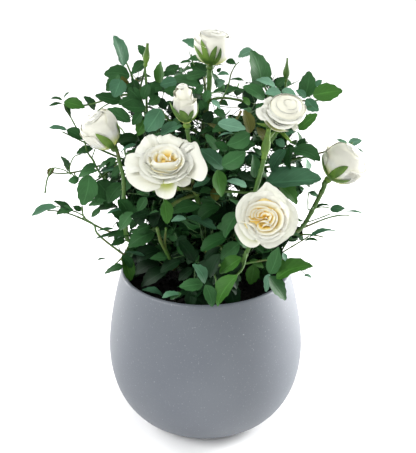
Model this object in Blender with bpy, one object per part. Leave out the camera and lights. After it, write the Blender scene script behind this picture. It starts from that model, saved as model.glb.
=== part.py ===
"""A white patio rose growing in its round grey pot.

The origin is the centre of the pot's flat underside, +Z is up and -Y is the side that the open blooms face.
The sizes below are in millimetres, and each mesh is turned into metres as it is made.
"""

import math

import bmesh
import bpy
import numpy as np
from mathutils import Vector

MM = 0.001

# The pot: a turned vessel, widest at its belly, with an even wall.
POT_HEIGHT = 126.0
BELLY_RADIUS = 75.0
BELLY_HEIGHT = 62.0
RIM_RADIUS = 64.3
FOOT_RADIUS = 34.4
WALL = 4.0
FLOOR = 6.0
FOOT_EDGE = 1.0
LOWER_FULLNESS = (2.17, 1.95)  # the powers of the lower curve: 2 and 2 would be an ellipse
SHOULDER_POWER = 1.58
SOIL_TOP = 107.0
SOIL_CROWN = 3.0
POT_SIDES = 40
SOIL_SIDES = 20
OUTER_STEPS = 8
SHOULDER_STEPS = 5
INNER_STEPS = 6
INNER_SHOULDER = 3
LIP_STEPS = 4

# Room kept between neighbours.
GAP = 0.6
SOIL_GAP = 1.2
STEM_GAP = 0.5
RIM_GAP = 1.5

# The crown: rings of leaf masses round the stems, and one mass in the middle. Each ring has its height, its
# distance from the stems, the masses' radius across and upwards, and the bearing in degrees of each mass.
FOUR_ROUND = {"right": 0, "back": 90, "left": 180, "front": 270}
FIVE_ROUND = {"right": 18, "back": 90, "left": 162, "front_left": 234, "front_right": 306}
RINGS = {
    "low": (158.0, 45.0, 31.0, 27.0, FOUR_ROUND),
    "mid": (203.0, 49.0, 37.0, 33.0, FIVE_ROUND),
    "top": (246.0, 45.0, 37.0, 33.0, FIVE_ROUND),
}
FRONT_PULL = 0.3  # the front masses stand this share nearer the stems, behind the open flowers
FRONT_SLIM = 0.12  # and are this share smaller across
HEART_MIDDLE = (0.0, 4.0, 234.0)
HEART_SIZE = (28.0, 28.0, 36.0)
RING_LUMPS = 0.13
CROWN_SLICES = (12, 8)

# Leafy shoots that stand out of the crown: the foot, the furthest tip, and the radii across and through.
SHOOTS = {
    "shoot_top_left": ((-53, 5, 272), (-62, 5, 304), 8, 7),
    "shoot_top_left_inner": ((-41, 5, 275), (-45, 9, 295), 6, 6),
    "shoot_top_middle": ((-4, 25, 264), (-15, 25, 296), 11, 9),
    "shoot_top_right": ((40, 20, 262), (34, 20, 289), 12, 9),
    "shoot_right_high": ((66, 22, 246), (101, 20, 258), 15, 12),
    "shoot_right_behind": ((96, 25, 212), (118, 25, 220), 6, 6),
    "shoot_right_low": ((88, -5, 170), (118, -5, 173), 6, 6),
    "shoot_right_rim": ((68, -22, 158), (97, -20, 165), 6, 8),
    "shoot_front_right": ((44, -62, 164), (75, -65, 157), 12, 9),
    "shoot_front": ((4, -68, 168), (11, -86, 138), 17, 10),
    "shoot_left_rim": ((-50, -14, 145), (-77, -16, 131), 8, 9),
    "shoot_left_low": ((-54, -14, 152), (-79, -16, 166), 8, 9),
    "shoot_left_lowest": ((-97, 0, 174), (-130, 0, 172), 7, 9),
    "shoot_left_broad": ((-76, -12, 208), (-101, -10, 188), 9, 10),
    "shoot_left_hanging": ((-103, 10, 212), (-120, 10, 185), 6, 6),
    "shoot_left_high": ((-86, 10, 224), (-117, 10, 234), 9, 9),
    "shoot_left_top": ((-80, 15, 244), (-114, 15, 257), 10, 9),
    "shoot_back_high": ((20, 80, 238), (32, 112, 242), 10, 9),
    "shoot_back_low": ((12, 70, 160), (24, 100, 152), 10, 9),
    "shoot_back_left": ((-56, 54, 216), (-76, 82, 212), 10, 9),
    "shoot_back_right": ((54, 60, 226), (72, 86, 224), 10, 9),
}
SHOOT_LUMPS = 0.08
SHOOT_SLICES = (10, 7)

# The flowers: the middle, the way the flower faces, the radius across and half its depth.
BLOOMS = {
    "bloom_front_left": ((-26, -62, 232), (0.0, -0.45, 0.89), 28.0, 15.0),
    "bloom_front_right": ((40, -84, 203), (0.12, -0.86, 0.5), 22.0, 15.0),
    "bloom_right_high": ((52, -32, 259), (0.1, -0.3, 0.95), 17.5, 14.5),
    "bloom_middle_bud": ((-14, -40, 267), (-0.1, -0.1, 0.98), 9.0, 12.0),
    "bloom_left_bud": ((-73, -25, 246), (-0.45, -0.15, 0.88), 13.0, 14.5),
    "bloom_top": ((8, 10, 294), (0.1, 0.0, 1.0), 12.0, 12.0),
    "bloom_right_bud": ((101, 0, 211), (0.62, -0.1, 0.78), 14.0, 15.5),
    "green_bud_left": ((-38, 0, 292), (0.25, 0.0, 0.97), 4.0, 8.0),
    "green_bud_right": ((59, 15, 278), (0.0, 0.0, 1.0), 4.0, 8.0),
    "green_bud_middle": ((41, -66, 238), (0.2, -0.1, 0.97), 5.5, 11.0),
}
BLOOM_LUMPS = 0.05
OPEN_SLICES = (16, 10)
BUD_SLICES = (10, 7)
OPEN_FROM = 15.0  # flowers at least this wide count as open

# Canes rise from the soil into the crown: the foot on the soil, then the aim inside the crown.
CANES = {
    "cane_middle": ((-2, 2), (0, 4, 222)),
    "cane_left": ((-12, 3), (-34, 8, 200)),
    "cane_right": ((11, 4), (36, 10, 200)),
    "cane_front": ((3, -11), (-8, -26, 200)),
    "cane_back": ((-4, 13), (2, 40, 200)),
}
CANE_RADII = (2.6, 2.0)
CANE_UPRIGHT = 0.6  # a cane rises this share of its height before its lean takes over

# Stalks leave the crown and carry a flower or a shoot: the start in the crown, the point that the stalk
# bends towards, and what it carries.
STALKS = {
    "stalk_top": ((0, 10, 248), (3, 10, 266), "bloom_top"),
    "stalk_left": ((-57, -22, 186), (-58, -27, 222), "bloom_left_bud"),
    "stalk_right": ((64, -12, 156), (77, -7, 176), "bloom_right_bud"),
    "stalk_green_middle": ((33, -56, 198), (35, -66, 216), "green_bud_middle"),
    "twig_left_low": ((-58, -10, 140), (-83, -5, 162), "shoot_left_lowest"),
    "twig_left_hanging": ((-72, 6, 200), (-92, 8, 214), "shoot_left_hanging"),
    "twig_right_low": ((66, -6, 161), (82, -6, 168), "shoot_right_low"),
}
STALK_RADII = (1.5, 1.1)
STEM_POINTS = 7
PATH_STEPS = 240

COLOURS = {
    "glaze": (0.25, 0.28, 0.33),
    "soil": (0.03, 0.02, 0.015),
    "bark": (0.12, 0.2, 0.07),
    "leaf": (0.035, 0.12, 0.04),
    "petal": (0.86, 0.84, 0.74),
    "sepal": (0.12, 0.28, 0.08),
}
ROUGHNESS = {"glaze": 0.6, "soil": 0.95, "bark": 0.6, "leaf": 0.5, "petal": 0.55, "sepal": 0.5}


def clear_scene():
    """Empties the scene that the script is run in."""
    for thing in list(bpy.data.objects):
        bpy.data.objects.remove(thing)


def material(kind):
    """The shared material of one kind of surface."""
    found = bpy.data.materials.get(kind)
    if found:
        return found
    made = bpy.data.materials.new(kind)
    made.use_nodes = True
    shader = made.node_tree.nodes["Principled BSDF"]
    shader.inputs["Base Color"].default_value = (*COLOURS[kind], 1.0)
    shader.inputs["Roughness"].default_value = ROUGHNESS[kind]
    return made


def add_mesh(name, mesh, kind):
    """Puts a finished bmesh, in millimetres, into the scene as one object."""
    bmesh.ops.scale(mesh, vec=Vector((MM, MM, MM)), verts=mesh.verts)
    bmesh.ops.recalc_face_normals(mesh, faces=mesh.faces)
    data = bpy.data.meshes.new(name)
    mesh.to_mesh(data)
    mesh.free()
    data.shade_smooth()
    data.materials.append(material(kind))
    thing = bpy.data.objects.new(name, data)
    bpy.context.scene.collection.objects.link(thing)
    return thing


# ---------------------------------------------------------------- pot and soil


def belly_curve(inset, bottom, steps):
    """The curve from the foot to the belly, a blown-out ellipse, set in by inset and starting at bottom."""
    up_power, out_power = LOWER_FULLNESS
    foot = FOOT_RADIUS - inset
    reach = BELLY_RADIUS - FOOT_RADIUS
    points = []
    for step in range(steps + 1):
        turn = math.pi / 2 * step / steps
        below = math.cos(turn) ** (2 / up_power)
        out = math.sin(turn) ** (2 / out_power)
        points.append((foot + reach * out, BELLY_HEIGHT - (BELLY_HEIGHT - bottom) * below))
    return points


def shoulder_curve(inset, top, steps):
    """The curve from just above the belly up to the height top, closing in towards the rim."""
    points = []
    for step in range(1, steps + 1):
        height = BELLY_HEIGHT + (top - BELLY_HEIGHT) * step / steps
        share = (height - BELLY_HEIGHT) / (POT_HEIGHT - BELLY_HEIGHT)
        closing = (BELLY_RADIUS - RIM_RADIUS) * share**SHOULDER_POWER
        points.append((BELLY_RADIUS - inset - closing, height))
    return points


def lip_curve(steps):
    """The half-round top of the wall, from its outer side to its inner side."""
    half = WALL / 2
    points = []
    for step in range(1, steps):
        turn = math.pi * step / steps
        radius = RIM_RADIUS - half + half * math.cos(turn)
        points.append((radius, POT_HEIGHT - half + half * math.sin(turn)))
    return points


def turned(profile, sides):
    """Spins a profile that starts and ends on the axis into one closed solid."""
    mesh = bmesh.new()
    verts = [mesh.verts.new((radius, 0.0, height)) for radius, height in profile]
    edges = [mesh.edges.new(pair) for pair in zip(verts, verts[1:])]
    bmesh.ops.spin(
        mesh,
        geom=verts + edges,
        cent=(0, 0, 0),
        axis=(0, 0, 1),
        angle=2 * math.pi,
        steps=sides,
        use_merge=True,
    )
    bmesh.ops.remove_doubles(mesh, verts=mesh.verts, dist=0.001)
    return mesh


def make_pot():
    """The vessel: flat foot, belly, shoulder and rounded lip outside, and an even wall and flat floor inside."""
    shoulder = POT_HEIGHT - WALL / 2
    outer = belly_curve(0.0, 0.0, OUTER_STEPS) + shoulder_curve(0.0, shoulder, SHOULDER_STEPS)
    inner = belly_curve(WALL, FLOOR, INNER_STEPS) + shoulder_curve(WALL, shoulder, INNER_SHOULDER)
    outer[0] = (FOOT_RADIUS + FOOT_EDGE, FOOT_EDGE)
    underside = [(0.0, 0.0), (FOOT_RADIUS, 0.0)]
    profile = underside + outer + lip_curve(LIP_STEPS) + inner[::-1] + [(0.0, FLOOR)]
    return add_mesh("pot", turned(profile, POT_SIDES), "glaze")


def make_soil():
    """The compost that fills the pot to below its lip, a little domed in the middle."""
    inset = WALL + SOIL_GAP
    top = SOIL_TOP - SOIL_CROWN
    side = belly_curve(inset, FLOOR + GAP, INNER_STEPS) + shoulder_curve(inset, top, INNER_SHOULDER)
    edge = side[-1][0]
    dome = [(edge * share, SOIL_TOP - SOIL_CROWN * share**2) for share in (0.7, 0.35, 0.0)]
    profile = [(0.0, FLOOR + GAP)] + side + dome
    return add_mesh("soil", turned(profile, SOIL_SIDES), "soil")


# ---------------------------------------------------------------- leaf masses and flowers


class Blob:
    """A closed uneven ball of its own shape, held inside the planes that part it from its neighbours.

    Seen from its middle, the surface lies at reach(direction): an ellipsoid's radius, times slow seeded
    waves, and cut short where a parting plane is nearer.
    """

    def __init__(self, name, middle, axes, radii, lumps, slices, kind):
        self.name = name
        self.middle = np.array(middle, float)
        self.axes = np.array(axes, float)
        self.radii = np.array(radii, float)
        self.lumps = lumps
        self.slices = slices
        self.kind = kind
        self.planes = []
        seed = sum(ord(letter) * place for place, letter in enumerate(name, 1))
        random = np.random.default_rng(seed)
        self.waves = random.normal(0.0, 3.0, (4, 3))
        self.starts = random.uniform(0.0, 2 * math.pi, 4)

    def support(self, direction):
        """How far the blob reaches along a direction, its waves included, before any cut."""
        across = (self.axes @ direction) * self.radii
        return float(np.linalg.norm(across)) * (1.0 + self.lumps)

    def reach(self, directions):
        """The surface's distance from the middle along each unit direction."""
        across = (directions @ self.axes.T) / self.radii
        smooth = 1.0 / np.linalg.norm(across, axis=1)
        wave = np.sin(directions @ self.waves.T + self.starts).mean(axis=1)
        far = smooth * (1.0 + self.lumps * wave)
        for normal, distance in self.planes:
            facing = directions @ normal
            cut = distance / np.maximum(facing, 1e-6)
            far = np.where(facing > 0.0, np.minimum(far, cut), far)
        return far

    def holds(self, points, room):
        """Which points lie inside the blob, or within room of its surface."""
        offset = points - self.middle + 1e-6
        away = np.linalg.norm(offset, axis=1)
        directions = offset / away[:, None]
        return away < self.reach(directions) + room

    def keep_off(self, normal, distance):
        """Cuts the blob at a plane, given by its outward normal and its distance from the middle."""
        self.planes.append((np.array(normal, float), distance))

    def make(self):
        """Builds the ball along its own axes and pushes each vertex out to the surface."""
        mesh = bmesh.new()
        around, rows = self.slices
        bmesh.ops.create_uvsphere(mesh, u_segments=around, v_segments=rows, radius=1.0)
        bmesh.ops.triangulate(mesh, faces=mesh.faces)
        local = np.array([vert.co[:] for vert in mesh.verts])
        stretched = (local * self.radii) @ self.axes
        directions = stretched / np.linalg.norm(stretched, axis=1)[:, None]
        places = self.middle + directions * self.reach(directions)[:, None]
        for vert, place in zip(mesh.verts, places):
            vert.co = place
        return add_mesh(self.name, mesh, self.kind)


def frame_along(direction):
    """Three square axes, as rows, with the third along the direction."""
    third = np.array(direction, float)
    third /= np.linalg.norm(third)
    aside = np.cross(third, (0.0, 1.0, 0.0))
    if np.linalg.norm(aside) < 0.1:
        aside = np.cross(third, (1.0, 0.0, 0.0))
    first = aside / np.linalg.norm(aside)
    return np.array([first, np.cross(third, first), third])


def crown_blobs():
    """The rings of leaf masses, spaced evenly round the stems, and the heart of the crown."""
    upright = np.eye(3)
    blobs = [Blob("mass_heart", HEART_MIDDLE, upright, HEART_SIZE, RING_LUMPS, CROWN_SLICES, "leaf")]
    for ring, (height, distance, across, upwards, bearings) in RINGS.items():
        for place, bearing in bearings.items():
            turn = math.radians(bearing)
            front = max(0.0, -math.sin(turn))
            out = distance * (1.0 - FRONT_PULL * front)
            middle = (out * math.cos(turn), out * math.sin(turn), height)
            wide = across * (1.0 - FRONT_SLIM * front)
            radii = (wide, wide, upwards)
            name = f"mass_{ring}_{place}"
            blobs.append(Blob(name, middle, upright, radii, RING_LUMPS, CROWN_SLICES, "leaf"))
    return blobs


def shoot_blobs():
    """The leafy shoots: each a lens from its foot to its tip."""
    blobs = []
    for name, (foot, tip, across, through) in SHOOTS.items():
        foot, tip = np.array(foot, float), np.array(tip, float)
        length = np.linalg.norm(tip - foot)
        radii = (across, through, length / 2)
        axes = frame_along(tip - foot)
        blobs.append(Blob(name, (foot + tip) / 2, axes, radii, SHOOT_LUMPS, SHOOT_SLICES, "leaf"))
    return blobs


def bloom_blobs():
    """The open flowers and the buds."""
    blobs = []
    for name, (middle, facing, across, depth) in BLOOMS.items():
        slices = OPEN_SLICES if across >= OPEN_FROM else BUD_SLICES
        kind = "sepal" if name.startswith("green") else "petal"
        blobs.append(
            Blob(name, middle, frame_along(facing), (across, across, depth), BLOOM_LUMPS, slices, kind)
        )
    return blobs


def part_neighbours(leaves, blooms):
    """Cuts each pair that would meet: leaves share the room between them, and give way to a flower."""
    for index, one in enumerate(leaves):
        for other in leaves[index + 1 :] + blooms:
            between = other.middle - one.middle
            apart = float(np.linalg.norm(between))
            normal = between / apart
            mine, theirs = one.support(normal), other.support(-normal)
            if mine + theirs + GAP <= apart:
                continue
            if other in blooms:
                one.keep_off(normal, apart - theirs - GAP)
            else:
                share = mine / (mine + theirs)
                one.keep_off(normal, apart * share - GAP / 2)
                other.keep_off(-normal, apart * (1 - share) - GAP / 2)


def keep_above_rim(leaves):
    """Holds the lowest masses just above the pot's lip."""
    for blob in leaves:
        blob.keep_off((0, 0, -1), blob.middle[2] - POT_HEIGHT - RIM_GAP)


# ---------------------------------------------------------------- stems


def bend(start, towards, end):
    """Points along the smooth bend from start to end that sets off towards the point between."""
    start, towards, end = (np.array(point, float) for point in (start, towards, end))
    share = np.linspace(0.0, 1.0, PATH_STEPS)[:, None]
    return start * (1 - share) ** 2 + towards * 2 * share * (1 - share) + end * share**2


def clear_run(points, blobs, room):
    """The longest stretch of the path that stays outside every blob."""
    free = np.ones(len(points), bool)
    for blob in blobs:
        free &= ~blob.holds(points, room)
    best, start = (0, 0), None
    for index, is_free in enumerate(list(free) + [False]):
        if is_free and start is None:
            start = index
        if not is_free and start is not None:
            if index - start > best[1] - best[0]:
                best = (start, index)
            start = None
    return points[best[0] : best[1]]


def add_stem(name, points, radii):
    """One tapering limb: a round curve along the points, closed at both ends."""
    curve = bpy.data.curves.new(name, "CURVE")
    curve.dimensions = "3D"
    curve.bevel_depth = MM
    curve.bevel_resolution = 1
    curve.use_fill_caps = True
    spline = curve.splines.new("POLY")
    chosen = points[np.linspace(0, len(points) - 1, STEM_POINTS).astype(int)]
    spline.points.add(len(chosen) - 1)
    for index, point in enumerate(chosen):
        share = index / (len(chosen) - 1)
        spline.points[index].co = (*(point * MM), 1.0)
        spline.points[index].radius = radii[0] + (radii[1] - radii[0]) * share
    curve.materials.append(material("bark"))
    stem = bpy.data.objects.new(name, curve)
    bpy.context.scene.collection.objects.link(stem)
    return stem


def make_canes(blobs):
    """The canes, from just above the soil to where each enters a mass."""
    for name, ((x, y), aim) in CANES.items():
        foot = SOIL_TOP + GAP
        upright = (x, y, foot + (aim[2] - foot) * CANE_UPRIGHT)
        path = bend((x, y, foot), upright, aim)
        add_stem(name, clear_run(path, blobs, CANE_RADII[0] + STEM_GAP), CANE_RADII)


def make_stalks(blobs):
    """The stalks, each the bare stretch between the crown and the flower or shoot that it carries."""
    places = {blob.name: blob.middle for blob in blobs}
    for name, (start, towards, carried) in STALKS.items():
        path = bend(start, towards, places[carried])
        add_stem(name, clear_run(path, blobs, STALK_RADII[0] + STEM_GAP), STALK_RADII)


def main():
    clear_scene()
    make_pot()
    make_soil()
    leaves = crown_blobs() + shoot_blobs()
    blooms = bloom_blobs()
    part_neighbours(leaves, blooms)
    keep_above_rim(leaves)
    blobs = leaves + blooms
    for blob in blobs:
        blob.make()
    make_canes(blobs)
    make_stalks(blobs)
    print(len(bpy.data.objects), "objects")


main()
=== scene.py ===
# %% [markdown]
# # A white patio rose in a round grey pot
#
# The construction model gives the true sizes: a round pot, the soil in it, five canes, the masses of
# foliage with the shoots that stand out of them, and a plain solid for each flower and bud. This lesson
# keeps every one of those places and gives it its looks: a smooth pot, crumbly compost, ridged green
# canes with prickles, toothed leaflets, and flowers made petal by petal.
#
# Lengths are in millimetres until the moment a mesh is made. +Z is up, -Y is towards the viewer and +X
# is to the viewer's right.

# %% Load the frame
import math

import bpy
import numpy as np
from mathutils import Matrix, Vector
from mathutils.bvhtree import BVHTree


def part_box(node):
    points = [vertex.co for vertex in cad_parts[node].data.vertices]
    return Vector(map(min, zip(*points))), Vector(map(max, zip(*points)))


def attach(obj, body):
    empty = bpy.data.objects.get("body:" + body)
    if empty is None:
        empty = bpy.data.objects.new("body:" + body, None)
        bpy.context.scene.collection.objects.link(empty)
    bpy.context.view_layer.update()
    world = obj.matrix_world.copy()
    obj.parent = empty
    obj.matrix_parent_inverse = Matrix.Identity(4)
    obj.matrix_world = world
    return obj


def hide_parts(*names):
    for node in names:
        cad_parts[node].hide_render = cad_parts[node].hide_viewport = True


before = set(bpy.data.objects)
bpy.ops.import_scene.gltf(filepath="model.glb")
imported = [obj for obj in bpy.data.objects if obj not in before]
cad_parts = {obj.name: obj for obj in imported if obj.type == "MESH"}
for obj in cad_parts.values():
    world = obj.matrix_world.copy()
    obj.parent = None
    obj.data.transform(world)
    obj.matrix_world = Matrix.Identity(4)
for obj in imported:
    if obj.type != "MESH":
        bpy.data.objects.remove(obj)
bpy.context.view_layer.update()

MM = 0.001

# %% [markdown]
# ## The camera and the line of sight
#
# A plant is recognised by which leaf lies where, so the leaves, stalks and flowers that show most are
# placed by their spot in the view. For that the camera comes first. A spot in the view is turned into a
# place by walking along the line of sight to a chosen depth, which is how far behind the pot's middle
# the thing lies.

# %% The camera
PICTURE = (416, 453)
SENSOR = 36.0
LENS = 85.0
EYE = np.array((2.0, -735.1, 480.4))
AIM = np.array((2.0, 0.0, 159.8))
FOCAL = LENS / SENSOR * max(PICTURE)


def unit(vectors):
    """The same directions at length one."""
    return vectors / np.linalg.norm(vectors, axis=-1, keepdims=True)


AHEAD = unit(AIM - EYE)
RIGHT = np.array((1.0, 0.0, 0.0))
ABOVE = np.cross(RIGHT, AHEAD)

camera_data = bpy.data.cameras.new("camera")
camera_data.lens = LENS
camera_data.sensor_width = SENSOR
camera = bpy.data.objects.new("camera", camera_data)
camera.location = Vector(EYE) * MM
camera.rotation_euler = Vector(AHEAD).to_track_quat("-Z", "Y").to_euler()
bpy.context.scene.collection.objects.link(camera)
bpy.context.scene.camera = camera


# %% Lines of sight
def sight(u, v):
    """The direction seen at (u, v): ahead + right (u - centre) / focal + above (centre - v) / focal."""
    return AHEAD + RIGHT * (u - PICTURE[0] / 2) / FOCAL + ABOVE * (PICTURE[1] / 2 - v) / FOCAL


def spot(u, v, depth):
    """The point seen at (u, v) whose y is the depth: the eye plus the line of sight, stretched to it."""
    way = sight(u, v)
    return EYE + way * (depth - EYE[1]) / way[1]


def seen(points):
    """Where points appear, and how far ahead of the eye: (u, v, distance) along the last axis."""
    offset = points - EYE
    ahead = offset @ AHEAD
    u = PICTURE[0] / 2 + FOCAL * (offset @ RIGHT) / ahead
    v = PICTURE[1] / 2 - FOCAL * (offset @ ABOVE) / ahead
    return np.stack((u, v, ahead), axis=-1)


print("eye at", EYE, "mm, focal length", round(FOCAL, 1), "picture points")

# %% [markdown]
# ## From arrays to meshes
#
# Everything here is a grid of points worked out with whole arrays: a pot is a profile times a turn, a
# stem is a path times a ring, a leaf or a petal is a length times a width. A heap gathers thousands of
# such grids into one mesh, because one mesh of ten thousand faces is far quicker to handle than a
# thousand small objects. Ends that shrink to a point are welded when the mesh is made: points that fall
# into one cell of a very fine grid become one, and a face's side that shrank to nothing is left out.


# %% Heaps of grids
WELD = 0.002  # corners that fall into one cell of this size, in mm, become one


def full_turn(count):
    """Angles spread evenly over a whole turn."""
    return np.linspace(0.0, 2 * math.pi, count, endpoint=False)


class Heap:
    """Many small grids on their way to one mesh, with a map and a warmth for every face corner."""

    def __init__(self):
        self.points = []
        self.faces = []
        self.maps = []
        self.warmth = []
        self.count = 0

    def add(self, grids, warmth=0.0, ring=False):
        """Adds grids of shape (n, rows, columns, 3), in mm. A ring joins its last column to its first."""
        n, rows, columns = grids.shape[:3]
        row, column = np.meshgrid(np.arange(rows - 1), np.arange(columns - (not ring)), indexing="ij")
        row, column = row.ravel(), column.ravel()
        corners = [(row, column), (row, column + 1), (row + 1, column + 1), (row + 1, column)]
        one = np.stack([r * columns + c % columns for r, c in corners], axis=-1)
        steps = np.arange(n)[:, None, None] * rows * columns
        self.faces.append((one + steps + self.count).reshape(-1, 4))
        width = columns if ring else columns - 1
        chart = np.stack([np.stack((c / width, r / (rows - 1)), axis=-1) for r, c in corners], axis=1)
        self.maps.append(np.tile(chart, (n, 1, 1, 1)).reshape(-1, 4, 2))
        self.warmth.append(np.broadcast_to(warmth, (n, rows, columns)).reshape(-1))
        self.points.append(grids.reshape(-1, 3))
        self.count += n * rows * columns

    def mesh(self, name):
        """The welded mesh, in metres, smooth-shaded, with its map and its warmth."""
        points = np.concatenate(self.points)
        places = np.round(points / WELD).astype(np.int64) @ (1 << 40, 1 << 20, 1)
        _, first, welded = np.unique(places, return_index=True, return_inverse=True)
        faces = welded[np.concatenate(self.faces)]
        kept = faces != np.roll(faces, -1, axis=1)
        whole = (kept.sum(axis=1) > 2) & (faces[:, 0] != faces[:, 2]) & (faces[:, 1] != faces[:, 3])
        kept &= whole[:, None]
        sides = kept.sum(axis=1)[whole]
        made = bpy.data.meshes.new(name)
        made.vertices.add(len(first))
        made.vertices.foreach_set("co", (points[first] * MM).reshape(-1).astype(np.float32))
        made.loops.add(int(sides.sum()))
        made.loops.foreach_set("vertex_index", faces[kept].astype(np.int32))
        made.polygons.add(len(sides))
        made.polygons.foreach_set("loop_start", (np.cumsum(sides) - sides).astype(np.int32))
        made.update(calc_edges=True)
        chart = made.uv_layers.new(name="chart")
        chart.data.foreach_set("uv", np.concatenate(self.maps)[kept].reshape(-1).astype(np.float32))
        warm = made.attributes.new("warmth", "FLOAT", "POINT")
        warm.data.foreach_set("value", np.concatenate(self.warmth)[first].astype(np.float32))
        made.polygons.foreach_set("use_smooth", np.ones(len(made.polygons), bool))
        return made


def piece(name, heap, material, nodes):
    """Makes the heap an object that rides with the plant and stands for the named construction nodes."""
    mesh = heap.mesh(name)
    mesh.materials.append(material)
    thing = bpy.data.objects.new(name, mesh)
    bpy.context.scene.collection.objects.link(thing)
    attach(thing, "root")
    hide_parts(*nodes)
    triangles = sum(len(face.vertices) - 2 for face in mesh.polygons)
    print(f"{name}: {triangles} triangles")


def waves(points, size, seed, count=6):
    """Smooth unevenness from -1 to 1: the mean of a few sine waves of about the given size, in mm."""
    random = np.random.default_rng(seed)
    slopes = random.normal(0.0, 2 * math.pi / size, (3, count))
    starts = random.uniform(0.0, 2 * math.pi, count)
    return np.sin(points @ slopes + starts).mean(axis=-1) * math.sqrt(count)


# %% [markdown]
# ## Mixing finishes
#
# Every finish is a Principled material. What changes over the surface, such as veins on a leaf or gold
# in the heart of a petal, is fed in by a few nodes; what is the same all over is set on the shader
# itself. These short words keep the recipes below readable.


# %% Material words
class Finish:
    """A Principled material and short words for the nodes that feed it."""

    def __init__(self, name, roughness, colour=(0.5, 0.5, 0.5), specular=0.5):
        self.material = bpy.data.materials.new(name)
        self.material.use_nodes = True
        self.tree = self.material.node_tree
        self.shader = self.tree.nodes["Principled BSDF"]
        self.shader.inputs["Roughness"].default_value = roughness
        self.shader.inputs["Specular IOR Level"].default_value = specular
        self.shader.inputs["Base Color"].default_value = (*colour, 1.0)

    def node(self, kind, **settings):
        made = self.tree.nodes.new(kind)
        for key, value in settings.items():
            setattr(made, key, value)
        return made

    def put(self, socket, value):
        """Links a socket, or sets a number or a colour."""
        if isinstance(value, bpy.types.NodeSocket):
            self.tree.links.new(value, socket)
        elif isinstance(value, tuple) and len(value) == 3:
            socket.default_value = (*value, 1.0) if socket.type == "RGBA" else value
        else:
            socket.default_value = value

    def math(self, operation, first, second=0.0):
        made = self.node("ShaderNodeMath", operation=operation)
        for socket, value in zip(made.inputs, (first, second)):
            self.put(socket, value)
        return made.outputs[0]

    def mix(self, share, first, second):
        made = self.node("ShaderNodeMix", data_type="RGBA")
        for key, value in zip(("Factor", "A", "B"), (share, first, second)):
            self.put(made.inputs[key], value)
        return made.outputs["Result"]

    def noise(self, scale, detail=2.0, place=None):
        made = self.node("ShaderNodeTexNoise")
        place = self.node("ShaderNodeTexCoord").outputs["Object"] if place is None else place
        for key, value in zip(("Vector", "Scale", "Detail"), (place, scale, detail)):
            self.put(made.inputs[key], value)
        return made.outputs["Fac"]

    def between(self, value, low, high):
        """Rises smoothly from 0 to 1 as the value goes from low to high."""
        made = self.node("ShaderNodeMapRange", interpolation_type="SMOOTHSTEP")
        for key, number in zip(("Value", "From Min", "From Max"), (value, low, high)):
            self.put(made.inputs[key], number)
        return made.outputs["Result"]

    def chart(self):
        """The two coordinates of the piece's own map: across and along."""
        split = self.node("ShaderNodeSeparateXYZ")
        self.put(split.inputs[0], self.node("ShaderNodeUVMap", uv_map="chart").outputs["UV"])
        return split.outputs["X"], split.outputs["Y"]

    def colour(self, value):
        self.put(self.shader.inputs["Base Color"], value)

    def bump(self, height, distance, strength=1.0):
        made = self.node("ShaderNodeBump")
        for key, value in zip(("Height", "Distance", "Strength"), (height, distance * MM, strength)):
            self.put(made.inputs[key], value)
        self.put(self.shader.inputs["Normal"], made.outputs["Normal"])


def screen(red, green, blue):
    """A screen colour, 0 to 255, as the linear colour that a shader mixes with."""
    share = np.array((red, green, blue)) / 255
    return tuple(np.where(share < 0.04045, share / 12.92, ((share + 0.055) / 1.055) ** 2.4).tolist())


# %% [markdown]
# ## The pot
#
# The pot is a thick-walled cover pot, cast in one piece: a small flat foot, a belly that swells like an
# egg, and a rim drawn in and rounded over. A surface of revolution is a profile times a turn. The belly
# is a superellipse below its widest height and a power curve above it, so two short formulas hold the
# whole outline, and the inner wall is the same outline moved in by the wall.

# %% Pot sizes
POT_HEIGHT = 126.0
BELLY_RADIUS = 75.0
BELLY_HEIGHT = 62.0
RIM_RADIUS = 64.3
FOOT_RADIUS = 34.4
WALL = 4.0
FLOOR = 6.0
FOOT_EDGE = 1.0
LOWER_FULLNESS = (2.17, 1.95)
SHOULDER_POWER = 1.58
OUTLINE_STEPS = 60
LIP_STEPS = 11
SOIL_TOP = 107.0


def turned(profile, around):
    """A ring grid: each profile point (r, z) goes to (r cos a, r sin a, z) for each of the turns."""
    turn = full_turn(around)
    r, z = profile[:, 0, None], profile[:, 1, None]
    return np.stack((r * np.cos(turn), r * np.sin(turn), z + 0 * turn), axis=-1)[None]


def belly(steps):
    """From the foot to the widest height: r = foot + (belly - foot) sin^(2/b) t, z = h - h cos^(2/a) t."""
    t = np.linspace(0.0, math.pi / 2, steps)
    tall, wide = LOWER_FULLNESS
    r = FOOT_RADIUS + (BELLY_RADIUS - FOOT_RADIUS) * np.sin(t) ** (2 / wide)
    z = BELLY_HEIGHT - BELLY_HEIGHT * np.cos(t).clip(0) ** (2 / tall)
    return np.stack((r, z), axis=-1)


def shoulder(steps):
    """From the widest height to the rim: r = belly - (belly - rim) s^power, with s the share of the rise."""
    share = np.linspace(0.0, 1.0, steps)
    r = BELLY_RADIUS - (BELLY_RADIUS - RIM_RADIUS) * share**SHOULDER_POWER
    z = BELLY_HEIGHT + (POT_HEIGHT - WALL / 2 - BELLY_HEIGHT) * share
    return np.stack((r, z), axis=-1)


def wall_radius(z):
    """The inner wall's radius at a height."""
    outline = np.concatenate((belly(OUTLINE_STEPS), shoulder(OUTLINE_STEPS)[1:]))
    return np.interp(z, outline[:, 1], outline[:, 0]) - WALL


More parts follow.
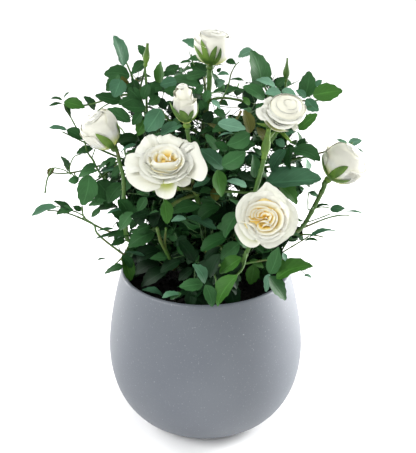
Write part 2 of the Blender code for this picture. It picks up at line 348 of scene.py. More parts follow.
# %% Build the pot
def pot_profile():
    """Up the outside, over the rim in a half round, down the inside and across the floor to the axis."""
    foot = np.array(((0.0, 0.0), (FOOT_RADIUS * 0.5, 0.0), (FOOT_RADIUS - FOOT_EDGE, 0.0)))
    outside = np.concatenate((belly(46)[1:], shoulder(40)[1:]))
    turn = np.linspace(0.0, math.pi, LIP_STEPS)[1:]
    lip = np.stack((np.cos(turn), np.sin(turn)), axis=-1) * WALL / 2
    lip += (RIM_RADIUS - WALL / 2, POT_HEIGHT - WALL / 2)
    depths = np.linspace(POT_HEIGHT - WALL, FLOOR + WALL, 40)
    inside = np.stack((wall_radius(depths), depths), axis=-1)
    floor = np.array(((wall_radius(FLOOR + WALL) - WALL, FLOOR), (0.0, FLOOR)))
    return np.concatenate((foot, outside, lip, inside, floor))


POT_GREY = screen(95, 100, 107)
POT_GREY_DEEP = screen(89, 94, 102)
POT_FLECK = screen(145, 150, 156)
pot_finish = Finish("pot_glaze", roughness=0.47, specular=0.55)
pot_grain = pot_finish.noise(900.0, 4.0)
pot_cloud = pot_finish.noise(14.0, 3.0)
pot_tone = pot_finish.mix(pot_finish.between(pot_cloud, 0.3, 0.7), POT_GREY_DEEP, POT_GREY)
pot_finish.colour(pot_finish.mix(pot_finish.between(pot_grain, 0.62, 0.8), pot_tone, POT_FLECK))
pot_finish.bump(pot_grain, distance=0.05, strength=0.35)

pot_heap = Heap()
pot_heap.add(turned(pot_profile(), around=144), ring=True)
piece("pot_shell", pot_heap, pot_finish.material, ["pot"])

# %% [markdown]
# ## The compost
#
# Potting compost is dark, moist and crumbly, and its colours here are darker still, near black, as painted
# shade under the foliage. A gently crowned disc carries two sizes of waves for its unevenness, and crumbs
# are strewn on it: each is a small ball pushed out of round, of a few dozen faces because there are
# hundreds of them.


# %% Compost sizes
SOIL_CROWN = 3.0
SOIL_GAP = 0.3  # between the compost and the wall
SOIL_SUNK = 0.4
SOIL_WAVES = ((0.7, 16, 1), (0.45, 5, 2))  # height, size, seed
CRUMBS = 620
CRUMB_SIZES = (0.5, 1.7)
CRUMB_ROWS, CRUMB_ROUND = 5, 7
LUMPINESS = 0.35
SQUAT = (1.0, 1.0, 0.7)
# Near black: the compost's own dark brown, darkened further as painted shade.
SOIL_DARK = screen(7, 6, 5)
SOIL_LIGHT = screen(24, 19, 14)


# %% Build the compost
def crumbs(places, sizes, random):
    """Small uneven balls: a sphere's point times a size times one plus a random lump, flattened a bit."""
    polar = np.linspace(0.0, math.pi, CRUMB_ROWS)
    ball = turned(np.stack((np.sin(polar), np.cos(polar)), axis=-1), CRUMB_ROUND)
    lumps = 1 + LUMPINESS * random.uniform(-1, 1, (len(places), CRUMB_ROWS, CRUMB_ROUND))
    lumps[:, 0] = lumps[:, :1, 0]
    lumps[:, -1] = lumps[:, -1:, 0]
    return places[:, None, None] + ball * lumps[..., None] * sizes[:, None, None, None] * SQUAT


def on_soil(x, y, lift=0.0):
    """Points on the crown of the soil, with its broad and fine waves."""
    far = np.hypot(x, y) / wall_radius(SOIL_TOP)
    flat = np.stack((x, y, 0 * x), axis=-1)
    rise = SOIL_TOP + SOIL_CROWN * (1 - far**2) - SOIL_SUNK
    for high, size, seed in SOIL_WAVES:
        rise = rise + high * waves(flat, size, seed)
    return np.stack((x, y, rise + lift), axis=-1)


soil_random = np.random.default_rng(11)
soil_radius = wall_radius(SOIL_TOP)
ring_radii = np.linspace(soil_radius - SOIL_GAP, 0.0, 46)[:, None]
soil_turn = full_turn(120)
soil_heap = Heap()
soil_heap.add(on_soil(ring_radii * np.cos(soil_turn), ring_radii * np.sin(soil_turn))[None], ring=True)
crumb_far = np.sqrt(soil_random.uniform(0, 1, CRUMBS)) * (soil_radius - 3)
crumb_turn = soil_random.uniform(0, 2 * math.pi, CRUMBS)
crumb_size = soil_random.uniform(*CRUMB_SIZES, CRUMBS)
crumb_place = on_soil(crumb_far * np.cos(crumb_turn), crumb_far * np.sin(crumb_turn), 0.2 * crumb_size)
soil_heap.add(crumbs(crumb_place, crumb_size, soil_random), ring=True)

soil_finish = Finish("compost", roughness=0.9, specular=0.25)
soil_speck = soil_finish.noise(420.0, 5.0)
soil_finish.colour(soil_finish.mix(soil_finish.between(soil_speck, 0.35, 0.75), SOIL_DARK, SOIL_LIGHT))
soil_finish.bump(soil_speck, distance=0.6)
piece("compost", soil_heap, soil_finish.material, ["soil"])

# %% [markdown]
# ## The foliage's room
#
# Leaves may only fill the masses and shoots of the construction model. Each of those closed solids goes
# into a search tree, which answers two questions fast: is a point inside, and where does a line of
# sight first meet the crown. The second puts a leaf that is placed by its spot in the view onto the
# crown's near side, so that it also looks right from anywhere else.


# %% Search trees
def search_tree(names):
    """One search tree, in mm, for the faces of the named construction nodes."""
    corners, faces, count = [], [], 0
    for name in names:
        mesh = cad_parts[name].data
        corners += [vertex.co / MM for vertex in mesh.vertices]
        faces += [[count + index for index in face.vertices] for face in mesh.polygons]
        count += len(mesh.vertices)
    return BVHTree.FromPolygons(corners, faces)


SIGHT_STEPS = np.arange(620.0, 940.0, 4.0)  # distances from the eye at which the plant may be met
LEAFY = [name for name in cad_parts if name.startswith(("mass_", "shoot_"))]
ROOMS = {name: search_tree([name]) for name in LEAFY}
CROWN = search_tree(LEAFY)


def middle_of(name):
    low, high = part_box(name)
    return np.array((low + high) / 2) / MM


def outside_by(tree, point):
    """How far a point lies outside the solid; less than nothing inside."""
    place, normal, _, far = tree.find_nearest(Vector(point))
    return far if (Vector(point) - place).dot(normal) > 0 else -far


def crown_depth(u, v):
    """The depth at which the line of sight meets the crown, or passes nearest to it."""
    way = Vector(unit(sight(u, v)))
    start = Vector(EYE)
    hit = CROWN.ray_cast(start, way)[0]
    if hit is None:
        near = [start + way * far for far in SIGHT_STEPS]
        hit = min(near, key=lambda point: CROWN.find_nearest(point)[3])
    return hit.y


print(len(LEAFY), "masses and shoots to fill")

# %% [markdown]
# ## Stems
#
# A stem is a path with a ring carried along it. Rose wood is not a smooth pipe: it has long soft ridges
# and a slight swelling at each node, so the ring's radius follows the turn and the length. Each limb
# starts as a curve through a few places, and what it bears later joins it at its nearest point.


# %% Paths and tubes
BEND_PULL = 0.38  # how far a bend's inner points lie from its ends, as a share of its length


def through(places, count):
    """A smooth path through the places: cubic spans whose slope at each place follows its neighbours."""
    places = np.asarray(places, float)
    slopes = np.gradient(places, axis=0)
    span = np.linspace(0.0, len(places) - 1.0, count)
    start = np.minimum(span.astype(int), len(places) - 2)
    s = (span - start)[:, None]
    lead = (2 * s**3 - 3 * s**2 + 1) * places[start] + (s**3 - 2 * s**2 + s) * slopes[start]
    tail = (3 * s**2 - 2 * s**3) * places[start + 1] + (s**3 - s**2) * slopes[start + 1]
    return lead + tail


def bend(start, leave, end, arrive, count):
    """Cubic curves from start to end that set off along leave and come in along arrive."""
    length = np.linalg.norm(end - start, axis=-1, keepdims=True) * BEND_PULL
    s = np.linspace(0.0, 1.0, count)[:, None]
    start, leave, end, arrive, length = (x[..., None, :] for x in (start, leave, end, arrive, length))
    first, second = start + leave * length, end - arrive * length
    near, far = start * (1 - s) ** 3 + first * 3 * s * (1 - s) ** 2, second * 3 * s**2 * (1 - s)
    return near + far + end * s**3


def tubes(paths, radii, around):
    """Rings round paths of shape (n, k, 3): path + radius (cos a aside + sin a over), both ends shut."""
    along = unit(np.gradient(paths, axis=1))
    chord = np.abs(paths[:, -1] - paths[:, 0])
    fixed = np.eye(3)[np.argmin(chord, axis=1)][:, None]
    aside = unit(np.cross(along, fixed))
    over = np.cross(along, aside)
    turn = full_turn(around)
    radii = np.broadcast_to(radii, (*paths.shape[:2], around))[..., None]
    ring = np.cos(turn)[:, None] * aside[:, :, None] + np.sin(turn)[:, None] * over[:, :, None]
    first, last = (np.repeat(paths[:, end, None, None], around, axis=2) for end in (0, -1))
    return np.concatenate((first, paths[:, :, None] + ring * radii, last), axis=1)


# %% The living skeleton
class Skeleton:
    """Every point of wood so far, with its slope and thickness, for new growth to join."""

    def __init__(self):
        self.points = np.empty((0, 3))
        self.slopes = np.empty((0, 3))
        self.radii = np.empty(0)

    def grow(self, path, radii):
        self.points = np.concatenate((self.points, path))
        self.slopes = np.concatenate((self.slopes, unit(np.gradient(path, axis=0))))
        self.radii = np.concatenate((self.radii, radii))

    def nearest(self, target, lift=0.35, thick=0.0):
        """The place to join: the least distance, with wood above the target counted as further off."""
        offset = target - self.points
        cost = np.linalg.norm(offset, axis=1) - lift * offset[:, 2].clip(None, 0) * 2
        cost = np.where(self.radii >= thick, cost, np.inf)
        best = int(np.argmin(cost))
        return self.points[best], self.slopes[best], self.radii[best]


wood = Skeleton()
stem_heap = Heap()
NODE_SPACING = 15.0


def ridged(path, start, end, around, seed):
    """Radii that taper from start to end, with long ridges, fine bark and swollen nodes."""
    share = np.linspace(0.0, 1.0, len(path))[:, None]
    length = np.linalg.norm(np.diff(path, axis=0), axis=1).sum()
    turn = full_turn(around)
    ridges = 0.05 * np.sin(5 * turn + 3 * share) + 0.03 * np.sin(9 * turn - 4 * share + seed)
    nodes = 0.22 * np.exp(-(((share * length / NODE_SPACING + 0.3 * seed) % 1.0 - 0.5) / 0.09) ** 2)
    return (start + (end - start) * share) * (1 + ridges + nodes)


def limb(path, start, end, seed, around=12):
    """Adds one ridged limb along a path and lets new growth join it."""
    stem_heap.add(tubes(path[None], ridged(path, start, end, around, seed)[None], around), ring=True)
    wood.grow(path, np.linspace(start, end, len(path)))


# %% Canes
CANES = {
    "cane_middle": ((-2, 2), (0, 4, 222)),
    "cane_left": ((-12, 3), (-34, 8, 200)),
    "cane_right": ((11, 4), (36, 10, 200)),
    "cane_front": ((3, -11), (-8, -26, 200)),
    "cane_back": ((-4, 13), (2, 40, 200)),
}
CANE_RADII = (2.6, 1.7)
CANE_UPRIGHT = 0.6  # the share of its rise over which a cane stands straight
CANE_ROOT = 4.0  # how far a cane goes on below the soil
CANE_POINTS = 60

for number, ((x, y), aim) in enumerate(CANES.values()):
    foot = np.array((x, y, SOIL_TOP))
    upright = np.array((x, y, foot[2] + (aim[2] - foot[2]) * CANE_UPRIGHT))
    share = np.linspace(0.0, 1.0, CANE_POINTS)[:, None]
    cane = foot * (1 - share) ** 2 + upright * 2 * share * (1 - share) + np.array(aim) * share**2
    cane = np.concatenate(([foot - (0, 0, CANE_ROOT)], cane))
    limb(cane, *CANE_RADII, seed=number, around=16)
print("canes:", len(CANES), "wood points:", len(wood.points))

# %% [markdown]
# ### Boughs into the masses
#
# Each mass and each shoot gets one bough. It leaves the nearest thick wood below it and ends beyond the
# middle of its mass, rising at first and then leaning out, as a rose does towards the light.

# %% Boughs
# By kind: the thinnest wood it leaves, how far past its mass's middle it ends, and its two radii.
BOUGH_KINDS = {"mass": (1.6, 12.0, 1.5, 0.8), "shoot": (0.9, 4.0, 1.1, 0.5)}
BOUGH_POINTS = 26
PLANT_HEART = np.array((0.0, 4.0, 190.0))
UPWARDS = (0, 0, 12.0)


def by_reach(name):
    """How far a node's middle is from the plant's heart, nearest first."""
    return float(np.linalg.norm(middle_of(name) - PLANT_HEART))


for number, name in enumerate(sorted(LEAFY, key=by_reach)):
    goal = middle_of(name)
    thinnest, beyond, start, end = BOUGH_KINDS[name.split("_")[0]]
    join, slope, thick = wood.nearest(goal, thick=thinnest)
    out = unit(goal - PLANT_HEART + UPWARDS)
    path = bend(join, unit(slope + out), goal + out * beyond, out, BOUGH_POINTS)
    limb(path, min(thick, start), end, seed=number, around=10)
print("boughs:", len(LEAFY))

# %% [markdown]
# ### Stalks and twigs that show
#
# The flower stalks are the light green lines that lead the eye to each flower, and a few bare twigs
# stand out at the sides. Each is a route of spots in the view with a depth at both ends. Its lower end
# is joined to the nearest wood.

# %% Where the flowers sit
def flower_axes(facing):
    """Right as the viewer sees it, away from the viewer or up, and out of the flower."""
    out = unit(np.array(facing, float))
    right = unit(RIGHT - out * (out @ RIGHT))
    return np.stack((right, np.cross(out, right), out))


# Open flowers: the middle, the facing, and how far below the middle the petals' seat lies.
OPEN_FLOWERS = {
    "bloom_front_left": ((-26, -62, 232), (0.0, -0.45, 0.89), 10.0),
    "bloom_front_right": ((40, -84, 203), (0.12, -0.86, 0.5), 10.0),
    "bloom_right_high": ((52, -32, 259), (0.1, -0.45, 0.88), 13.0),
}
# Buds: where the foot is seen, its depth, and the facing.
BUD_FEET = {
    "bloom_left_bud": ((112.5, 146, -24), (-0.52, -0.15, 0.84)),
    "bloom_middle_bud": ((186.5, 122, -40), (-0.1, -0.1, 0.98)),
    "bloom_top": ((210.5, 64, 10), (0.12, -0.05, 0.99)),
    "bloom_right_bud": ((330, 177.5, -2), (0.62, -0.1, 0.78)),
    "green_bud_left": ((145.7, 63, 0), (0.12, 0.0, 0.99)),
    "green_bud_right": ((286, 78, 15), (0.04, 0.0, 1.0)),
    "green_bud_middle": ((264.5, 155, -65), (0.12, -0.1, 0.98)),
}
MIDDLES, AXES, SEATS = {}, {}, {}
for name, (middle, facing, drop) in OPEN_FLOWERS.items():
    MIDDLES[name] = np.array(middle, float)
    AXES[name] = flower_axes(facing)
    SEATS[name] = MIDDLES[name] - AXES[name][2] * drop
for name, (foot, facing) in BUD_FEET.items():
    AXES[name] = flower_axes(facing)
    SEATS[name] = spot(*foot)

# %% Stalks in the view
# The depth at the lower end, the radius at the lower and the upper end, then the spots from the lower
# end up. Further up the depth runs evenly to that of the flower's seat.
STALKS = {
    "bloom_front_left": (-40, 1.5, 1.3, [(165, 205)]),
    "bloom_front_right": (-50, 1.6, 1.4, [(243, 262), (250, 245)]),
    "bloom_right_high": (-20, 1.5, 1.3, [(259, 174), (266, 149)]),
    "bloom_middle_bud": (-34, 1.5, 1.4, [(192, 165), (189, 141)]),
    "bloom_left_bud": (-20, 1.7, 1.2, [
        (126, 235), (125, 216), (124, 202), (124, 188), (123, 175), (120, 164),
    ]),
    "bloom_top": (12, 1.9, 1.8, [(203, 130), (206, 112), (209, 88)]),
    "bloom_right_bud": (-14, 1.3, 1.9, [(290, 234), (298, 231), (305, 223), (314, 207), (324, 187)]),
    "green_bud_left": (4, 1.0, 0.75, [(147, 118), (146.5, 99), (146, 80)]),
    "green_bud_right": (16, 0.9, 0.7, [(284, 100), (285.5, 88)]),
    "green_bud_middle": (-36, 1.7, 1.4, [(250, 238), (249, 212), (255, 192), (260, 175)]),
}
JOINS_FROM = 1.65  # a stalk leaves wood at least this thick
HIPS = {"bloom": 3.4, "green": 2.0}  # how far below the seat a stalk ends, inside the hip


# %% Build the stalks
def in_sight(spots, near, far):
    """Points seen at the spots, with the depth running evenly from near to far."""
    return [spot(u, v, depth) for (u, v), depth in zip(spots, np.linspace(near, far, len(spots)))]


def branch(route, start, end, seed, fine, every, thick=0.0):
    """A limb that leaves the nearest wood and follows the route. Fine is how many points it has round
    about and on its lead; every is how many it has for each place of the route."""
    join, slope, _ = wood.nearest(route[0], thick=thick)
    lead = bend(join, unit(slope + unit(route[0] - join)), route[0], unit(route[1] - route[0]), fine)
    path = np.concatenate((lead[:-1], through(route, every * len(route))))
    limb(path, start, end, seed=seed, around=fine)


for number, (name, (near, lower, upper, spots)) in enumerate(STALKS.items()):
    out = AXES[name][2]
    end = SEATS[name] - out * HIPS[name.split("_")[0]]
    route = in_sight(spots, near, (end - out * 10.0)[1]) + [end - out * 3.0, end]
    branch(route, lower, upper, number, fine=12, every=10, thick=JOINS_FROM)

# Bare twigs in the view: the depth and thickness at both ends, then the spots from the wood outwards.
# Known fault: the third row from the end lacks a direction, because its first spot is a place that the
# wood already holds from the row before it. Its path isn't a number, and after it wood.nearest returns
# no place. So it, the last two rows, all twigs of the growth rule and all stalks from the wood to the
# leaves are missing. With (247, 254) as its first spot they are built.
TWIGS = (
    (-14, -4, 1.0, 0.6, [(133, 262), (123, 254), (108, 243), (97, 233), (94, 225), (84, 217), (82, 206)]),
    (0, 0, 0.6, 0.4, [(85, 217), (76, 212), (56, 206)]),
    (8, 10, 1.0, 0.45, [
        (108, 184), (98, 170), (93, 160), (88, 153), (85, 143), (83, 136), (76, 127), (64, 104),
    ]),
    (8, 8, 0.5, 0.4, [(92, 158), (95, 149)]),
    (6, 6, 0.6, 0.3, [(76, 178), (69, 171), (64, 165)]),
    (6, 8, 0.45, 0.4, [(70, 174), (70, 166), (74, 157), (81, 154)]),
    (6, 6, 0.5, 0.4, [(69, 173), (64, 170), (56, 168), (53, 168)]),
    (6, 6, 0.7, 0.55, [(51, 171), (47, 180), (45, 193)]),
    (6, 6, 0.5, 0.4, [(122, 99), (106, 105), (94, 114)]),
    (12, 12, 0.8, 0.35, [(216, 112), (220, 103), (225, 94), (229, 83), (231, 74), (235, 66), (239, 62)]),
    (14, 14, 0.4, 0.25, [(217, 106), (226, 107), (242, 108)]),
    (-9, -8, 0.5, 0.45, [(305, 223), (317, 219), (330, 214)]),
    (-9, -8, 0.5, 0.45, [(313, 209), (322, 207), (330, 208)]),
    (-9, -9, 0.5, 0.4, [(308, 209), (308, 198), (309, 191)]),
    (-18, -14, 0.6, 0.5, [(283, 252), (293, 246), (303, 240), (309, 236)]),
    (-14, -44, 1.4, 1.1, [(172, 268), (169, 257), (161, 242), (157, 228)]),
    (-20, -40, 1.0, 0.8, [(169, 256), (165, 244), (166, 228)]),
    (-60, -72, 1.2, 0.8, [(246, 252), (243, 267), (236, 276)]),
    (-60, -72, 0.9, 0.7, [(246, 252), (254, 262), (269, 274)]),
    (-64, -72, 0.8, 0.6, [(228, 268), (216, 280), (205, 283)]),
    (20, 24, 0.5, 0.3, [(336, 158), (346, 148), (350, 144)]),
)
for number, (near, far, start, end, spots) in enumerate(TWIGS):
    branch(in_sight(spots, near, far), start, end, number, fine=8, every=6)
print("stalks and twigs asked for:", len(STALKS) + len(TWIGS), "wood points:", len(wood.points))

# %% [markdown]
# ## Leaflets
#
# A rose leaf is three, five or seven leaflets on one stalk. A leaflet is broad below its middle, comes
# to a point, folds a little along its midrib, arches, and has a toothed edge. All of them are computed
# at once: one unit shape, scaled and turned for each leaflet. With thousands of them each has only
# forty-eight faces, and the teeth are the edge points moved in and out by turns.

# %% One leaflet shape for all
LEAF_ROWS = 13
LEAF_COLUMNS = 5
WIDEST = 0.42
TOOTH = 0.045
FOLD = (0.10, 0.42)
ARCH = (0.02, 0.13)
SWAY = 0.08
TWIST = 0.35

leaf_along = 0.5 - 0.5 * np.cos(np.linspace(0.0, math.pi, LEAF_ROWS))
leaf_across = np.linspace(-1.0, 1.0, LEAF_COLUMNS)


def leaf_outline():
    """Half width along the length: (t / m)^0.62 ((1 - t) / (1 - m))^0.86 with the widest place at m."""
    t = leaf_along
    return (t / WIDEST) ** 0.62 * ((1 - t).clip(0) / (1 - WIDEST)) ** 0.86


def leaflets(bases, tips, faces, widths, random):
    """Grids of leaflets. A point is base + length t along + half width w(t) c aside, raised at the edges
    by the fold, lifted in the middle by the arch and rippled towards the margin."""
    count = len(bases)
    length = np.linalg.norm(tips - bases, axis=1)
    along = unit(tips - bases)
    aside = unit(np.cross(faces, along))
    over = np.cross(along, aside)
    ranges = (FOLD, ARCH, (-SWAY, SWAY), (-TWIST, TWIST), (0.0, 2 * math.pi))
    drawn = [random.uniform(low, high, count)[:, None, None] for low, high in ranges]
    fold, arch, sway, twist, phase = drawn
    t = leaf_along[None, :, None]
    c = leaf_across[None, None, :]
    w = leaf_outline()[None, :, None] * (widths / 2)[:, None, None]
    tooth = np.where(np.arange(LEAF_ROWS) % 2 == 0, TOOTH, -TOOTH * 0.6)[None, :, None] * np.abs(c) ** 3
    size = length[:, None, None]
    x = size * (t + 0.02 * np.abs(c) * tooth / TOOTH * (t > 0.02) * (t < 0.98))
    y = w * c * (1 + tooth) + sway * size * 4 * t * (1 - t)
    ripple = 0.05 * np.sin(9.0 * t + phase + 1.4 * c) * np.abs(c) ** 1.5
    z = w * (fold * np.abs(c) + ripple * 1.6) + arch * size * 4 * t * (1 - t) + twist * (t - 0.5) * w * c
    grid = bases[:, None, None] + x[..., None] * along[:, None, None]
    return grid + y[..., None] * aside[:, None, None] + z[..., None] * over[:, None, None]


# %% [markdown]
# ### The leaves that show most
#
# These leaflets make the plant's face and outline. Each row gives where the leaflet's foot and its tip
# are seen, how broad it looks, how far behind the crown's near side it lies, and the letter of its
# tone. Where it looks narrower than a leaflet is, it has been rolled about its length; where it looks
# short for its breadth, it leans towards the viewer. Both turns are worked out from the row.

# %% Tones
# Besides greens that differ at random, three tones are painted light: B, a painted bluish sheen; G, the
# painted glow of light through a backlit leaf; T, painted shade deep in the crown.
TONES = {
    "D": ("leaves_dark", screen(34, 75, 34)),
    "M": ("leaves_middle", screen(49, 93, 49)),
    "B": ("leaves_bluish", screen(66, 110, 80)),
    "P": ("leaves_pale", screen(98, 140, 114)),
    "G": ("leaves_bright", screen(53, 101, 32)),
    "O": ("leaves_olive", screen(76, 80, 28)),
    "T": ("leaves_shade", screen(13, 41, 17)),
}

# %% Leaflets in the view: foot, tip, breadth, how far behind, tone
SHOWN_LEAFLETS = (
    # the upper left
    (125, 66, 115, 35, 13, 0, "B"), (145, 55, 138, 45, 8, 3, "M"), (145, 61, 131, 74, 10, 2, "D"),
    (130, 76, 104, 74, 17, 2, "M"), (121, 79, 114, 97, 18, 0, "B"), (122, 100, 95, 94, 12, 5, "D"),
    (128, 92, 122, 76, 9, 4, "O"), (137, 95, 132, 78, 8, 4, "D"), (158, 84, 160, 61, 10, 1, "G"),
    (165, 72, 179, 65, 9, 3, "D"), (172, 77, 201, 86, 11, 0, "M"), (177, 81, 160, 85, 13, 1, "B"),
    (186, 77, 204, 73, 10, 0, "M"), (203, 59, 188, 59, 6, 2, "M"), (197, 48, 182, 40, 8, 2, "B"),
    (226, 61, 236, 64, 6, 4, "D"), (150, 98, 152, 82, 10, 7, "D"), (183, 95, 163, 90, 11, 7, "D"),
    (196, 94, 203, 84, 8, 6, "M"), (214, 83, 225, 81, 9, 3, "P"), (229, 74, 217, 75, 4, 4, "B"),
    (230, 79, 244, 80, 3, 4, "D"), (226, 92, 240, 88, 5, 4, "D"), (225, 90, 213, 92, 4, 4, "D"),
    (209, 90, 205, 102, 9, 2, "M"), (217, 72, 221, 68, 4, 5, "D"), (131, 121, 107, 108, 13, 1, "M"),
    (146, 107, 122, 105, 13, 3, "D"), (161, 109, 146, 132, 20, 0, "B"), (160, 134, 182, 125, 11, 1, "B"),
    (141, 112, 132, 125, 10, 6, "D"), (138, 138, 116, 142, 10, 4, "D"), (160, 98, 166, 110, 9, 8, "T"),
    (172, 124, 183, 117, 7, 6, "D"),
    # between the flowers
    (212, 100, 221, 109, 5, 3, "P"), (206, 110, 200, 100, 10, 5, "D"), (204, 122, 212, 111, 12, 6, "T"),
    (214, 110, 226, 119, 8, 5, "D"), (218, 122, 246, 128, 13, 0, "P"), (251, 133, 244, 110, 12, 0, "O"),
    (267, 141, 257, 127, 9, 5, "O"), (250, 134, 227, 145, 17, 2, "M"), (224, 168, 200, 149, 15, 1, "B"),
    (222, 166, 246, 152, 18, 3, "M"), (233, 125, 212, 131, 10, 6, "D"), (234, 133, 218, 136, 2, 2, "P"),
    (205, 172, 209, 158, 8, 5, "D"), (210, 178, 193, 187, 9, 6, "B"), (218, 170, 223, 197, 14, 2, "G"),
    (247, 186, 227, 180, 7, 1, "P"), (256, 178, 254, 155, 12, 6, "D"), (238, 172, 254, 180, 8, 6, "T"),
    (219, 150, 206, 134, 9, 7, "M"), (228, 150, 215, 142, 9, 7, "D"),
    # the upper right
    (253, 50, 238, 57, 9, 3, "P"), (263, 89, 252, 50, 21, 1, "M"), (265, 99, 243, 86, 13, 2, "M"),
    (276, 87, 256, 79, 7, 0, "P"), (275, 86, 285, 77, 8, 4, "D"), (281, 92, 265, 93, 9, 1, "P"),
    (282, 90, 296, 95, 9, 1, "P"), (304, 98, 309, 71, 18, 1, "M"), (316, 86, 322, 80, 6, 4, "B"),
    (313, 95, 343, 90, 18, 0, "G"), (306, 99, 319, 111, 12, 2, "B"), (298, 129, 317, 113, 12, 4, "G"),
    (250, 105, 243, 97, 6, 4, "G"), (293, 150, 321, 160, 15, 1, "M"), (291, 147, 289, 171, 9, 3, "M"),
    (285, 149, 271, 172, 13, 1, "B"), (266, 180, 322, 176, 22, 0, "B"), (279, 182, 298, 204, 14, 4, "G"),
    (298, 148, 305, 138, 9, 5, "D"), (285, 137, 296, 131, 5, 4, "B"), (276, 140, 285, 147, 8, 4, "B"),
    (348, 144, 362, 140, 8, 12, "P"), (348, 145, 337, 139, 4, 12, "B"), (350, 149, 364, 152, 3, 12, "B"),
    (309, 192, 319, 197, 5, 8, "B"),
    # the lower right
    (314, 208, 330, 205, 3, 3, "D"), (330, 209, 345, 208, 8, 2, "B"), (345, 211, 364, 213, 2, 2, "B"),
    (309, 236, 337, 230, 4, 3, "B"), (305, 240, 319, 241, 3, 3, "D"), (304, 240, 293, 233, 4, 3, "D"),
    (283, 253, 287, 262, 5, 6, "P"),
    # over the front of the rim
    (206, 283, 193, 264, 11, 0, "B"), (203, 283, 179, 286, 13, 0, "M"), (206, 285, 213, 307, 13, 0, "M"),
    (236, 275, 216, 306, 16, 0, "G"), (254, 265, 250, 285, 14, 3, "G"), (269, 274, 265, 292, 8, 2, "P"),
    (269, 274, 278, 247, 15, 3, "M"), (276, 277, 313, 265, 17, 0, "G"), (270, 276, 287, 300, 14, 0, "D"),
    (304, 275, 312, 277, 3, 8, "P"), (250, 260, 264, 267, 7, 2, "G"), (187, 216, 217, 228, 9, 0, "B"),
    (186, 218, 171, 221, 6, 1, "P"), (163, 295, 142, 289, 6, 2, "B"), (162, 297, 179, 293, 6, 2, "B"),
    (181, 293, 170, 299, 6, 3, "M"), (200, 205, 171, 212, 13, 6, "D"), (219, 206, 197, 222, 14, 6, "D"),
    (238, 212, 224, 238, 14, 6, "M"), (226, 236, 200, 250, 14, 6, "D"), (239, 243, 220, 259, 15, 5, "M"),
    (241, 257, 219, 273, 14, 6, "G"), (219, 254, 209, 278, 13, 8, "T"), (168, 256, 150, 258, 8, 2, "M"),
    (165, 200, 168, 224, 13, 4, "G"), (146, 197, 137, 211, 10, 6, "D"), (150, 211, 130, 216, 8, 8, "T"),
    (154, 232, 128, 247, 18, 4, "D"), (124, 256, 132, 281, 13, 1, "G"), (133, 267, 122, 255, 9, 5, "D"),
    (123, 265, 104, 273, 7, 3, "D"), (168, 268, 140, 286, 14, 10, "T"), (160, 262, 134, 274, 12, 10, "T"),
    (180, 240, 196, 262, 13, 9, "T"), (186, 236, 176, 246, 9, 9, "T"),
    # Most leaves set deep in the pot's mouth have tone T, painted shade there.
    (160, 250, 136, 262, 13, 14, "T"), (172, 247, 152, 252, 9, 16, "D"), (146, 253, 127, 262, 10, 10, "T"),
    (180, 260, 160, 272, 12, 16, "T"), (164, 276, 143, 284, 9, 16, "T"), (152, 262, 133, 277, 11, 18, "T"),
    (150, 246, 136, 257, 10, 20, "T"), (132, 248, 124, 262, 9, 12, "D"), (198, 250, 187, 264, 10, 18, "T"),
    (212, 262, 196, 276, 11, 18, "T"), (230, 268, 212, 284, 11, 16, "T"), (241, 262, 228, 276, 11, 16, "T"),
    (258, 256, 245, 268, 11, 16, "T"), (263, 268, 250, 280, 10, 16, "T"), (192, 268, 178, 280, 10, 20, "T"),
    # the left side
    (128, 222, 112, 212, 10, 2, "D"), (140, 216, 124, 206, 12, 3, "D"), (136, 224, 147, 212, 12, 6, "T"),
    (119, 199, 129, 222, 13, -22, "D"), (132, 212, 119, 230, 12, -22, "M"),
    (150, 226, 136, 232, 11, 5, "D"), (126, 228, 116, 222, 7, 4, "D"),
    (112, 206, 103, 198, 8, 4, "D"), (118, 74, 106, 91, 13, 3, "M"), (118, 206, 96, 209, 8, 2, "D"),
    (138, 219, 130, 229, 8, 3, "D"), (160, 97, 148, 105, 10, 6, "D"), (196, 92, 178, 87, 7, 6, "D"),
    (175, 74, 160, 76, 6, 4, "D"), (217, 88, 212, 72, 5, 6, "D"), (306, 98, 296, 90, 7, 3, "B"),
    (97, 170, 78, 177, 9, 3, "M"), (133, 98, 118, 104, 9, 5, "D"),
    (122, 183, 107, 203, 15, 5, "D"), (130, 176, 121, 192, 11, 6, "D"), (128, 88, 141, 101, 12, 7, "D"),
    (137, 84, 124, 92, 10, 7, "M"), (148, 84, 143, 100, 10, 7, "D"), (122, 166, 112, 176, 8, 5, "D"),
    (116, 158, 106, 168, 8, 5, "D"), (106, 190, 96, 203, 13, 7, "D"),
    (89, 175, 82, 206, 21, 1, "M"), (97, 181, 114, 199, 20, 5, "D"), (79, 178, 68, 181, 8, 3, "M"),
    (113, 201, 88, 205, 9, 3, "M"), (125, 213, 107, 213, 6, 2, "B"), (122, 202, 125, 193, 5, 0, "B"),
    (100, 209, 91, 217, 6, 4, "D"), (96, 165, 81, 172, 6, 3, "D"), (98, 171, 112, 159, 4, 3, "D"),
    (99, 172, 117, 169, 6, 3, "B"), (69, 171, 61, 156, 6, 3, "M"), (146, 120, 138, 136, 12, 8, "G"),
    (93, 148, 76, 153, 8, 3, "D"), (67, 129, 84, 139, 11, 3, "D"),
    (67, 129, 49, 127, 5, 3, "B"), (64, 101, 85, 107, 12, 3, "G"), (64, 104, 71, 117, 5, 3, "D"),
    (95, 110, 84, 96, 8, 6, "D"), (63, 100, 51, 98, 3, 3, "D"), (62, 103, 48, 106, 3, 3, "D"),
    (64, 98, 69, 92, 2, 3, "D"), (56, 206, 31, 215, 8, 1, "B"), (72, 209, 54, 200, 6, 2, "D"),
    (73, 209, 56, 214, 8, 1, "M"), (82, 210, 73, 206, 6, 3, "D"), (114, 228, 97, 230, 3, 2, "M"),
    (133, 233, 95, 237, 6, 3, "D"), (132, 234, 117, 238, 3, 1, "P"), (125, 240, 111, 245, 8, 3, "D"),
    (145, 255, 124, 251, 3, 2, "B"), (106, 259, 97, 260, 2, 4, "D"), (54, 168, 48, 177, 6, 3, "O"),
)

